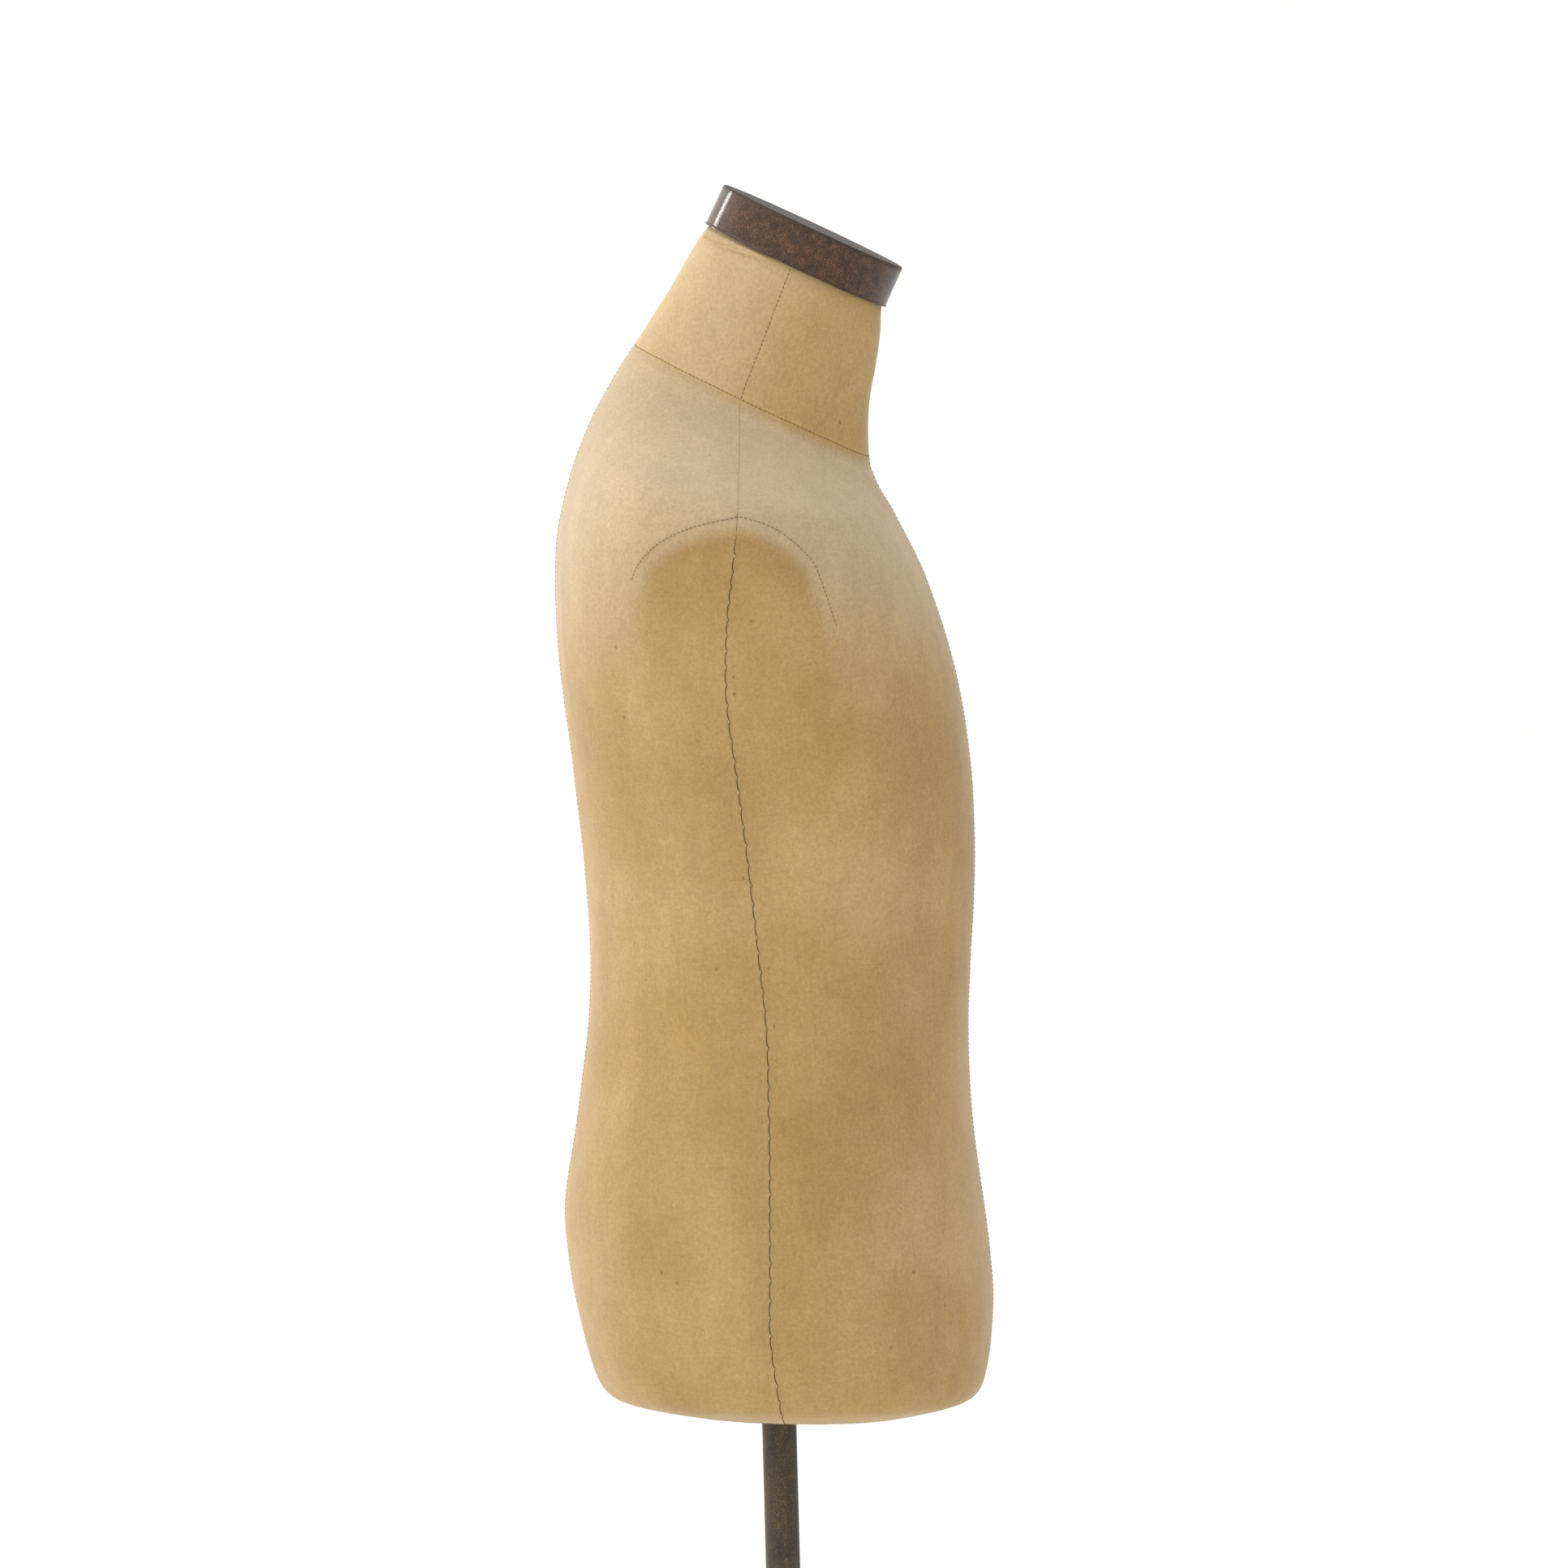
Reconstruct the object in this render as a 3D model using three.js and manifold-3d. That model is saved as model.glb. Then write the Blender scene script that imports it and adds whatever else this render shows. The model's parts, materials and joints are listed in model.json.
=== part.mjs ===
// Dress form on a height-adjustable stand: a padded, canvas-covered papier-mache torso with a
// slanted neck and a rusted iron neck cap, dropped over a steel pole that telescopes in a
// round-based stand. Millimetres, +Z up, origin on the floor under the pole's axis, the
// figure's front towards -Y and its left side towards +X.
import * as THREE from "three";
import { mergeVertices } from "three/addons/utils/BufferGeometryUtils.js";
import Module from "manifold-3d";

const wasm = await Module();
wasm.setup();

// Driving dimensions.
const GAP = 0.3; // clear space left between pieces that touch
const TORSO_Z = 830; // the torso's underside above the floor
const NECK_TILT = THREE.MathUtils.degToRad(26.5); // the neck's cut, lower at the front

const POLE_R = 11;
const POLE_BORE_R = 9;
const POLE_BOTTOM_Z = 205;
const POLE_TOP_Z = TORSO_Z + 410;

const TUBE_R = 15; // lower tube of the stand
const TUBE_BORE_R = 13;
const TUBE_TOP_Z = 584;

const FOOT_R = 16;
const FOOT_HEIGHT = 6;
const BASE_R = 180;
const BASE_THICK = 10;
const BASE_TOP_Z = FOOT_HEIGHT + BASE_THICK;

const HUB_R = 55;
const HUB_FLANGE = 9;
const HUB_TOP_Z = 72;
const HUB_SCREW_RING = 42;

const COLLAR_R = 21;
const COLLAR_BOTTOM_Z = 556;
const COLLAR_TOP_Z = 606;
const BUSH_R = TUBE_BORE_R - GAP;
const BUSH_BORE_R = POLE_R + GAP;
const CLAMP_Z = 595; // height of the thumb screw's axis
const CLAMP_HOLE_R = 4.4;

const SOCKET_R = 13.5; // the tube inside the torso that drops over the pole
const SOCKET_BORE_R = 11.5;
const SOCKET_TOP = 421; // heights inside the torso are above its underside
const BOARD_TOP = 22;
const CROSSBAR_BOTTOM = 392;
const CROSSBAR_THICK = 18;

const CANVAS = 0.9;
const WADDING = 5;
const SHELL = 4.5;

const CAP_R = 63; // neck cap, front to back; it is a little narrower across
const CAP_NARROW = 0.968;
const CAP_HEIGHT = 27.6;
const CAP_WALL = 1.5;
const CAP_CENTRE = { front: 30, height: 731.3 }; // middle of the cap's lower edge
const CAP_SCREW_X = 32;

// The torso's outer surface as tilted sections from the underside to the neck's top. A section
// joins a point on the back line to a point on the front line, and is a superellipse between.
// [back reach, back height, front reach, front height, half width, squareness]
const SECTIONS = [
  [74, 4, 92, -3, 116, 2.15],
  [101, 10.5, 119, 3.5, 146, 2.2],
  [115.5, 23, 132.5, 17, 163, 2.25],
  [126, 62, 138.8, 58, 175.5, 2.3],
  [133.4, 128, 136.3, 114, 177.5, 2.3],
  [124.5, 186, 129, 178, 164, 2.3],
  [114.5, 254, 127.6, 246, 148.5, 2.3],
  [113.3, 318, 132.8, 318, 147, 2.3],
  [119.3, 402, 134.3, 396, 161, 2.3],
  [126, 468, 127.5, 459, 177, 2.25],
  [128.7, 526, 114.5, 510, 194, 2.2],
  [125.5, 570, 102.5, 543, 206, 2.15],
  [116.5, 603.5, 91.8, 565, 203, 2.05],
  [102.5, 637, 82.3, 583, 145, 2],
  [84.5, 668, 75.6, 598.5, 84, 2],
  [73.9, 683.5, 73.8, 608, 67.6, 2],
  [59.7, 705, 74.3, 638, 62.5, 2],
  [47.2, 723.7, 78.5, 661, 59.8, 2],
  [33.7, 746, 83, 688, 58.8, 2],
  [24.2, 758.3, 84.3, 704.4, 58.3, 2],
  [16.4, 773.9, 92.1, 720, 58.2, 2],
];
const NECK_SEAM = 15; // the section where the neck cover meets the body cover
const LONGEST_STEP = 44; // rings stand no further apart than this along the torso
const QUARTER = 6; // columns from the front or back line to the side seam

// The side and shoulder seam, [height, distance towards the front], from underside to neck cap.
const SIDE_SEAM = [
  [0, 3],
  [60, -4],
  [185, -1],
  [255, -1],
  [358, -10],
  [470, -21.5],
  [510, -20],
  [577, -11],
  [649, -7.5],
  [728, 25],
  [760, 40],
];

const materials = {
  canvas: finish(0xb8995f, 0.9, 0),
  wadding: finish(0xe6dfcf, 1, 0),
  papier_mache: finish(0x9c8464, 0.85, 0),
  timber: finish(0xb98d5a, 0.7, 0),
  rusted_iron: finish(0x58442f, 0.45, 0.8),
  pole_steel: finish(0x54473a, 0.5, 0.8),
  cast_iron: finish(0x3b3530, 0.55, 0.8),
  brass: finish(0xa98545, 0.4, 1),
  zinc_steel: finish(0x8c8a86, 0.4, 1),
  felt: finish(0x2e2b28, 1, 0),
};

const form = new THREE.Group();

function finish(color, roughness, metalness) {
  return new THREE.MeshStandardMaterial({ color, roughness, metalness });
}

function add(name, material, geometry, place = [0, 0, 0], turn = [0, 0, 0], parent = form) {
  const mesh = new THREE.Mesh(geometry, materials[material]);
  mesh.name = name;
  mesh.position.set(...place);
  mesh.rotation.set(...turn);
  parent.add(mesh);
  return mesh;
}

// A solid turned about +Z from [radius, height] points, listed with the material on their left.
function turned(profile, sides = 28) {
  const points = profile.map(([r, z]) => new THREE.Vector2(r, z));
  return new THREE.LatheGeometry(points, sides).rotateX(Math.PI / 2);
}

function ring(inner, outer, bottom, top, sides) {
  return turned(
    [
      [inner, bottom],
      [outer, bottom],
      [outer, top],
      [inner, top],
      [inner, bottom],
    ],
    sides,
  );
}

function rod(radius, bottom, top, sides = 20) {
  return turned(
    [
      [0, bottom],
      [radius, bottom],
      [radius, top],
      [0, top],
    ],
    sides,
  );
}

function box(low, high) {
  const size = high.map((value, k) => value - low[k]);
  const middle = high.map((value, k) => (value + low[k]) / 2);
  return new THREE.BoxGeometry(...size).translate(...middle);
}

function toSolid(geometry) {
  const bare = geometry.clone();
  bare.deleteAttribute("normal");
  bare.deleteAttribute("uv");
  const merged = mergeVertices(bare, 1e-4);
  const vertProperties = new Float32Array(merged.attributes.position.array);
  const triVerts = new Uint32Array(merged.index.array);
  return new wasm.Manifold(new wasm.Mesh({ numProp: 3, vertProperties, triVerts }));
}

function toGeometry(solid) {
  const mesh = solid.getMesh();
  const positions = new Float32Array(mesh.vertProperties);
  return new THREE.BufferGeometry()
    .setAttribute("position", new THREE.BufferAttribute(positions, 3))
    .setIndex(new THREE.BufferAttribute(new Uint32Array(mesh.triVerts), 1));
}

function cut(geometry, ...tools) {
  return toGeometry(tools.reduce((left, tool) => left.subtract(toSolid(tool)), toSolid(geometry)));
}

function join(...geometries) {
  return toGeometry(geometries.map(toSolid).reduce((sum, next) => sum.add(next)));
}

function common(a, b) {
  return toGeometry(toSolid(a).intersect(toSolid(b)));
}

// Places for a ring of fasteners, starting halfway between +X and +Y.
function around(radius, count = 4) {
  return Array.from({ length: count }, (_, k) => {
    const angle = ((k + 0.5) / count) * 2 * Math.PI;
    return [radius * Math.cos(angle), radius * Math.sin(angle)];
  });
}

// A domed screw with its head's underside at z = 0.
function domedScrew(headR, headHeight, shankR, length) {
  return turned(
    [
      [0, -length],
      [shankR, -length + shankR],
      [shankR, 0],
      [headR, 0],
      [headR, headHeight * 0.35],
      [headR * 0.75, headHeight * 0.85],
      [0, headHeight],
    ],
    12,
  );
}

// Torso surface.

function interpolate(table, height) {
  const last = table.length - 1;
  const k = Math.min(Math.max(table.findIndex(([z]) => z > height) - 1, 0), last - 1);
  const at = height >= table[last][0] ? last - 1 : k;
  const [z0, v0] = table[at];
  const [z1, v1] = table[at + 1];
  const share = Math.min(Math.max((height - z0) / (z1 - z0), 0), 1);
  return v0 + share * (v1 - v0);
}

function smoothLine(columns) {
  const points = SECTIONS.map((row) => new THREE.Vector3(...columns.map((c) => row[c])));
  return new THREE.CatmullRomCurve3(points, false, "centripetal");
}

// One section's closed ring of points, from the front line by the left side to the back line
// and on by the right side. Its columns fall on the side seams.
function sectionRing([back, backZ, front, frontZ, half, squareness]) {
  const middle = (front - back) / 2;
  const reach = (front + back) / 2;
  const heightAt = (u) => backZ + ((u + back) / (2 * reach)) * (frontZ - backZ);
  let seam = middle;
  for (let k = 0; k < 4; k++) seam = interpolate(SIDE_SEAM, heightAt(seam));
  const seamShare = (seam - middle) / reach;
  const seamCos = Math.sign(seamShare) * Math.abs(seamShare) ** (squareness / 2);
  const seamAngle = Math.acos(THREE.MathUtils.clamp(seamCos, -1, 1));
  const power = 2 / squareness;
  const points = [];
  for (let j = 0; j < 4 * QUARTER; j++) {
    const step = j <= 2 * QUARTER ? j : 4 * QUARTER - j;
    const side = j <= 2 * QUARTER ? 1 : -1;
    const angle =
      step <= QUARTER
        ? (step / QUARTER) * seamAngle
        : seamAngle + ((step - QUARTER) / QUARTER) * (Math.PI - seamAngle);
    const c = Math.cos(angle);
    const u = middle + reach * Math.sign(c) * Math.abs(c) ** power;
    const onCentre = step % (2 * QUARTER) === 0;
    const x = onCentre ? 0 : side * half * Math.abs(Math.sin(angle)) ** power;
    points.push(new THREE.Vector3(x, -u, TORSO_Z + heightAt(u)));
  }
  return points;
}

function torsoRings() {
  const lineA = smoothLine([0, 1, 2]);
  const lineB = smoothLine([3, 4, 5]);
  const gaps = SECTIONS.length - 1;
  const rings = [];
  let seamRing = 0;
  for (let i = 0; i < gaps; i++) {
    const [b0, z0, , , w0] = SECTIONS[i];
    const [b1, z1, , , w1] = SECTIONS[i + 1];
    const steps = Math.ceil(Math.hypot(b1 - b0, z1 - z0, w1 - w0) / LONGEST_STEP);
    if (i === NECK_SEAM) seamRing = rings.length;
    for (let k = 0; k < steps; k++) {
      const t = (i + k / steps) / gaps;
      rings.push(sectionRing([...lineA.getPoint(t), ...lineB.getPoint(t)]));
    }
  }
  rings.push(sectionRing(SECTIONS[gaps]));
  return { rings, seamRing };
}

const { rings: SKIN, seamRing: SEAM_RING } = torsoRings();
const COLUMNS = 4 * QUARTER;

function skinNormal(i, j) {
  const up = SKIN[Math.min(i + 1, SKIN.length - 1)][j].clone().sub(SKIN[Math.max(i - 1, 0)][j]);
  const next = SKIN[i][(j + 1) % COLUMNS];
  const previous = SKIN[i][(j + COLUMNS - 1) % COLUMNS];
  return next.clone().sub(previous).cross(up).normalize();
}

const NORMALS = SKIN.map((row, i) => row.map((_, j) => skinNormal(i, j)));

// The skin between two rings and two columns, pulled in at its edges by half the seam gap.
function patch(fromRing, toRing, fromColumn, toColumn, seams) {
  const grid = [];
  for (let i = fromRing; i <= toRing; i++) {
    const row = [];
    for (let j = fromColumn; j <= toColumn; j++) {
      const column = (j + COLUMNS) % COLUMNS;
      row.push({ at: SKIN[i][column].clone(), normal: NORMALS[i][column] });
    }
    grid.push(row);
  }
  const pull = (vertex, towards) => {
    const way = towards.clone().sub(vertex.at).setLength(GAP / 2);
    vertex.at.add(way);
  };
  const rows = grid.length;
  const columns = grid[0].length;
  const rest = grid.map((row) => row.map((vertex) => vertex.at.clone()));
  if (seams.sides)
    for (let i = 0; i < rows; i++) {
      pull(grid[i][0], rest[i][1]);
      pull(grid[i][columns - 1], rest[i][columns - 2]);
    }
  for (let j = 0; j < columns; j++) {
    if (seams.bottom) pull(grid[0][j], rest[1][j]);
    if (seams.top) pull(grid[rows - 1][j], rest[rows - 2][j]);
  }
  return grid;
}

function sunk(grid, depth) {
  return grid.map((row, i) =>
    row.map(({ at, normal }) => {
      const d = typeof depth === "function" ? depth(i) : depth;
      return at.clone().addScaledVector(normal, -d);
    }),
  );
}

// A closed solid between an outer and an inner grid of points; both run upwards and, seen from
// above, anticlockwise. A closed one wraps round, so it has no side walls.
function gridSolid(outer, inner, closed) {
  const rows = outer.length;
  const columns = outer[0].length;
  const flat = [...outer.flat(), ...inner.flat()];
  const id = (layer, i, j) => layer * rows * columns + i * columns + (j % columns);
  const faces = [];
  const quad = (a, b, c, d) => faces.push(a, b, c, a, c, d);
  const last = closed ? columns : columns - 1;
  for (let i = 0; i < rows - 1; i++)
    for (let j = 0; j < last; j++) {
      quad(id(0, i, j), id(0, i, j + 1), id(0, i + 1, j + 1), id(0, i + 1, j));
      quad(id(1, i, j), id(1, i + 1, j), id(1, i + 1, j + 1), id(1, i, j + 1));
    }
  for (let j = 0; j < last; j++) {
    quad(id(0, 0, j + 1), id(0, 0, j), id(1, 0, j), id(1, 0, j + 1));
    const top = rows - 1;
    quad(id(0, top, j), id(0, top, j + 1), id(1, top, j + 1), id(1, top, j));
  }
  if (!closed)
    for (let i = 0; i < rows - 1; i++) {
      quad(id(0, i, 0), id(0, i + 1, 0), id(1, i + 1, 0), id(1, i, 0));
      quad(id(0, i + 1, last), id(0, i, last), id(1, i, last), id(1, i + 1, last));
    }
  const positions = new Float32Array(flat.flatMap((p) => [p.x, p.y, p.z]));
  return new THREE.BufferGeometry()
    .setAttribute("position", new THREE.BufferAttribute(positions, 3))
    .setIndex(faces);
}

// The wadding thins out where it is drawn under the bottom board.
const waddingAt = (i) => Math.min(WADDING, 1.5 + 1.75 * i);
const BOARD_DEPTH = (i) => CANVAS + GAP + waddingAt(i) + GAP;
const SHELL_DEPTH = CANVAS + GAP + WADDING + GAP;

function layerHalf(fromColumn, toColumn, outerDepth, innerDepth) {
  const grid = patch(0, SKIN.length - 1, fromColumn, toColumn, { sides: true });
  return gridSolid(sunk(grid, outerDepth), sunk(grid, innerDepth), false);
}

// Cover panels are quarters of the body and halves of the neck.
function coverPanel(fromRing, toRing, fromColumn, toColumn, seams) {
  const grid = patch(fromRing, toRing, fromColumn, toColumn, { sides: true, ...seams });
  return gridSolid(sunk(grid, 0), sunk(grid, CANVAS), false);
}

function buildCover() {
  const body = [0, SEAM_RING];
  const neck = [SEAM_RING, SKIN.length - 1];
  const meets = { top: true, bottom: true };
  const quarters = {
    cover_front_left: [0, QUARTER],
    cover_back_left: [QUARTER, 2 * QUARTER],
    cover_back_right: [2 * QUARTER, 3 * QUARTER],
    cover_front_right: [3 * QUARTER, 4 * QUARTER],
  };
  for (const [name, columns] of Object.entries(quarters))
    add(name, "canvas", coverPanel(...body, ...columns, meets));
  add("neck_cover_front", "canvas", coverPanel(...neck, -QUARTER, QUARTER, { bottom: true }));
  add("neck_cover_back", "canvas", coverPanel(...neck, QUARTER, 3 * QUARTER, { bottom: true }));
}

// A round hole through the torso's bottom pieces, as a ring of points level with the rim.
function holeRing(rimRow, radius) {
  const middle = rimRow.reduce((sum, p) => sum + p.z, 0) / rimRow.length;
  return rimRow.map((_, j) => {
    const angle = (j / COLUMNS) * 2 * Math.PI - Math.PI / 2;
    return new THREE.Vector3(radius * Math.cos(angle), radius * Math.sin(angle), middle);
  });
}

function buildUnderside() {
  const rim = SKIN[0].map((p) => {
    const inwards = new THREE.Vector3(-p.x, -p.y, 0).setLength(GAP);
    return p.clone().add(inwards);
  });
  const hole = holeRing(rim, SOCKET_R + 1.5);
  const raise = (row) => row.map((p) => p.clone().setZ(p.z + CANVAS));
  const cloth = gridSolid([hole, rim], [raise(hole), raise(rim)], true);
  add("cover_underside", "canvas", cloth);
}

function buildLayers() {
  const full = patch(0, SKIN.length - 1, 0, COLUMNS - 1, {});
  const wadding = gridSolid(
    sunk(full, CANVAS + GAP),
    sunk(full, (i) => CANVAS + GAP + waddingAt(i)),
    true,
  );
  add("wadding", "wadding", wadding);
  const below = box([-300, -300, TORSO_Z - 50], [300, 300, TORSO_Z + BOARD_TOP + GAP]);
  const halves = { shell_front: [-QUARTER, QUARTER], shell_back: [QUARTER, 3 * QUARTER] };
  for (const [name, columns] of Object.entries(halves)) {
    const half = layerHalf(...columns, SHELL_DEPTH, SHELL_DEPTH + SHELL);
    add(name, "papier_mache", cut(half, below));
  }
}

// An inner section of the torso as a flat plate, for boards that fit across it.
function acrossTorso(height, inset, thick) {
  const ringAt = SKIN.findIndex((row) => row[QUARTER].z - TORSO_Z > height) - 1;
  const outline = SKIN[ringAt].map((p, j) => p.clone().addScaledVector(NORMALS[ringAt][j], -inset));
  const shape = new THREE.Shape(outline.map((p) => new THREE.Vector2(p.x, p.y)));
  return new THREE.ExtrudeGeometry(shape, { depth: thick, bevelEnabled: false });
}

function buildFraming() {
  const rows = SKIN.findIndex((row) => row[QUARTER].z - TORSO_Z > BOARD_TOP + 15) + 1;
  const low = patch(0, rows, 0, COLUMNS - 1, {});
  const edge = sunk(low, BOARD_DEPTH);
  const bore = edge.map((row) => holeRing(row, SOCKET_R + GAP));
  const screws = around(27);
  const pilots = screws.map(([x, y]) => rod(2.2, TORSO_Z - 10, TORSO_Z + 60, 12).translate(x, y, 0));
  const above = box([-300, -300, TORSO_Z + BOARD_TOP], [300, 300, TORSO_Z + 400]);
  add("bottom_board", "timber", cut(gridSolid(edge, bore, true), above, ...pilots));

  const crossbarZ = TORSO_Z + CROSSBAR_BOTTOM;
  const plate = acrossTorso(CROSSBAR_BOTTOM, SHELL_DEPTH + SHELL + 2, CROSSBAR_THICK);
  const plank = common(plate, box([-300, -45, -1], [300, 45, CROSSBAR_THICK + 1]));
  const crossbar = cut(plank, rod(SOCKET_R + GAP, -5, CROSSBAR_THICK + 5, 32));
  add("crossbar", "timber", crossbar, [0, 0, crossbarZ]);

  const flangeZ = TORSO_Z + BOARD_TOP + GAP;
  const flange = turned([
    [SOCKET_R + GAP, 0],
    [36, 0],
    [36, 3],
    [35, 4],
    [19, 4],
    [17.5, 6],
    [17.5, 18],
    [SOCKET_R + GAP, 18],
    [SOCKET_R + GAP, 0],
  ]);
  add("socket_flange", "cast_iron", cut(flange.translate(0, 0, flangeZ), ...pilots));
  screws.forEach(([x, y], k) => {
    const screw = domedScrew(4, 2.4, 1.8, 18);
    add(`socket_flange_screw_${k + 1}`, "zinc_steel", screw, [x, y, flangeZ + 4 + GAP]);
  });

  const socketBottom = TORSO_Z + 5;
  add("socket_tube", "zinc_steel", ring(SOCKET_BORE_R, SOCKET_R, socketBottom, TORSO_Z + SOCKET_TOP));
  const socketCap = turned([
    [0, 0],
    [SOCKET_R + GAP, 0],
    [SOCKET_R + GAP, -9],
    [17.5, -9],
    [17.5, 5],
    [16.5, 6],
    [0, 6],
  ]);
  add("socket_cap", "cast_iron", socketCap, [0, 0, TORSO_Z + SOCKET_TOP + GAP]);
}

// The neck's top end is built level and then tipped forward as one group.
function buildNeckTop() {
  const top = new THREE.Group();
  top.position.set(0, -CAP_CENTRE.front, TORSO_Z + CAP_CENTRE.height);
  top.rotation.x = NECK_TILT;
  form.add(top);
  const ceiling = CAP_HEIGHT - CAP_WALL;
  const innerR = CAP_R - CAP_WALL;
  const lid = turned(
    [
      [0, ceiling],
      [innerR - 2, ceiling],
      [innerR, ceiling - 2],
      [innerR, 0],
      [CAP_R + 0.5, 0],
      [CAP_R + 0.5, 1.6],
      [CAP_R, 2.4],
      [CAP_R, CAP_HEIGHT - 3.5],
      [CAP_R - 1, CAP_HEIGHT - 1],
      [CAP_R - 3.5, CAP_HEIGHT],
      [0, CAP_HEIGHT],
    ],
    48,
  ).scale(CAP_NARROW, 1, 1);
  const blockTop = ceiling - GAP;
  const block = turned(
    [
      [0, -20],
      [43.5, -20],
      [46, -16],
      [46, 18.6],
      [60.5, 18.6],
      [60.5, blockTop - 2],
      [58.5, blockTop],
      [0, blockTop],
    ],
    40,
  ).scale(CAP_NARROW, 1, 1);
  // Countersunk screws, their heads just below the cap's face.
  const head = (radius, drop, tip) =>
    turned(
      [
        [0, tip],
        [1.6 + drop, tip],
        [1.6 + drop, CAP_HEIGHT - radius + 1.2],
        [radius, CAP_HEIGHT - GAP + drop],
        [0, CAP_HEIGHT - GAP + drop],
      ],
      16,
    );
  const places = [CAP_SCREW_X, -CAP_SCREW_X];
  const sinks = places.map((x) => head(4.2, GAP, -1).translate(x, 0, 0));
  add("neck_cap", "rusted_iron", cut(lid, ...sinks), [0, 0, 0], [0, 0, 0], top);
  add("neck_block", "timber", cut(block, ...sinks), [0, 0, 0], [0, 0, 0], top);
  places.forEach((x, k) => {
    const name = `neck_cap_screw_${k + 1}`;
    add(name, "rusted_iron", head(3.8, 0, 0.5), [x, 0, 0], [0, 0, 0], top);
  });
}

function buildPole() {
  add("pole", "pole_steel", ring(POLE_BORE_R, POLE_R, POLE_BOTTOM_Z, POLE_TOP_Z));
  const plugTop = POLE_TOP_Z + GAP + 3.5;
  const plug = turned([
    [0, POLE_TOP_Z - 30],
    [POLE_BORE_R - GAP, POLE_TOP_Z - 30],
    [POLE_BORE_R - GAP, POLE_TOP_Z + GAP],
    [POLE_R, POLE_TOP_Z + GAP],
    [POLE_R, plugTop - 1],
    [POLE_R - 1, plugTop],
    [0, plugTop],
  ]);
  add("pole_plug", "zinc_steel", plug);
  const discBottom = plugTop + GAP;
  const discTop = TORSO_Z + SOCKET_TOP;
  const disc = turned([
    [0, discBottom],
    [10, discBottom],
    [10.8, discBottom + 0.8],
    [10.8, discTop - 0.8],
    [10, discTop],
    [0, discTop],
  ]);
  add("thrust_disc", "brass", disc);
  const guideR = TUBE_BORE_R - GAP;
  add("pole_guide", "brass", ring(POLE_R + GAP, guideR, POLE_BOTTOM_Z, POLE_BOTTOM_Z + 35));
}

function buildBase() {
  const holes = around(HUB_SCREW_RING);
  const bores = holes.map(([x, y]) => rod(3.3, 0, 60, 14).translate(x, y, 0));
  const plate = turned(
    [
      [0, FOOT_HEIGHT],
      [BASE_R - 2, FOOT_HEIGHT],
      [BASE_R, FOOT_HEIGHT + 2],
      [BASE_R, BASE_TOP_Z - 3],
      [BASE_R - 1, BASE_TOP_Z - 1],
      [BASE_R - 3, BASE_TOP_Z],
      [0, BASE_TOP_Z],
    ],
    64,
  );
  add("base_plate", "cast_iron", cut(plate, rod(5.6, 0, 60), ...bores));

  const hubZ = BASE_TOP_Z + GAP;
  const hub = turned([
    [TUBE_R + GAP, hubZ],
    [HUB_R, hubZ],
    [HUB_R, hubZ + HUB_FLANGE - 3],
    [HUB_R - 3, hubZ + HUB_FLANGE],
    [31, hubZ + HUB_FLANGE],
    [24, hubZ + HUB_FLANGE + 6],
    [22, hubZ + HUB_FLANGE + 14],
    [22, HUB_TOP_Z - 2],
    [20, HUB_TOP_Z],
    [TUBE_R + GAP, HUB_TOP_Z],
    [TUBE_R + GAP, hubZ],
  ]);
  const setScrewZ = HUB_TOP_Z - 14;
  const setBore = rod(3.3, 0, 40, 14).rotateX(-Math.PI / 2).translate(0, 0, setScrewZ);
  add("hub", "cast_iron", cut(hub, setBore, ...bores));
  const setScrew = rod(3, TUBE_R + GAP, 23, 14).rotateX(-Math.PI / 2);
  add("hub_set_screw", "zinc_steel", setScrew, [0, 0, setScrewZ]);
  holes.forEach(([x, y], k) => {
    const screw = domedScrew(6.5, 4, 3, 17);
    add(`hub_screw_${k + 1}`, "zinc_steel", screw, [x, y, hubZ + HUB_FLANGE + GAP]);
  });

  add("lower_tube", "pole_steel", ring(TUBE_BORE_R, TUBE_R, hubZ, TUBE_TOP_Z));
  const plug = ring(5.4, TUBE_BORE_R - GAP, hubZ, hubZ + 24);
  add("tube_plug", "zinc_steel", plug);
  const bolt = join(
    rod(8.5, FOOT_HEIGHT - GAP - 4.4, FOOT_HEIGHT - GAP, 6),
    rod(5, FOOT_HEIGHT - GAP - 2, hubZ + 20, 20),
  );
  add("base_bolt", "zinc_steel", bolt);

  around(BASE_R - FOOT_R - 8).forEach(([x, y], k) => {
    add(`foot_pad_${k + 1}`, "felt", rod(FOOT_R, 0, FOOT_HEIGHT - GAP, 24), [x, y, 0]);
  });
}

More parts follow.
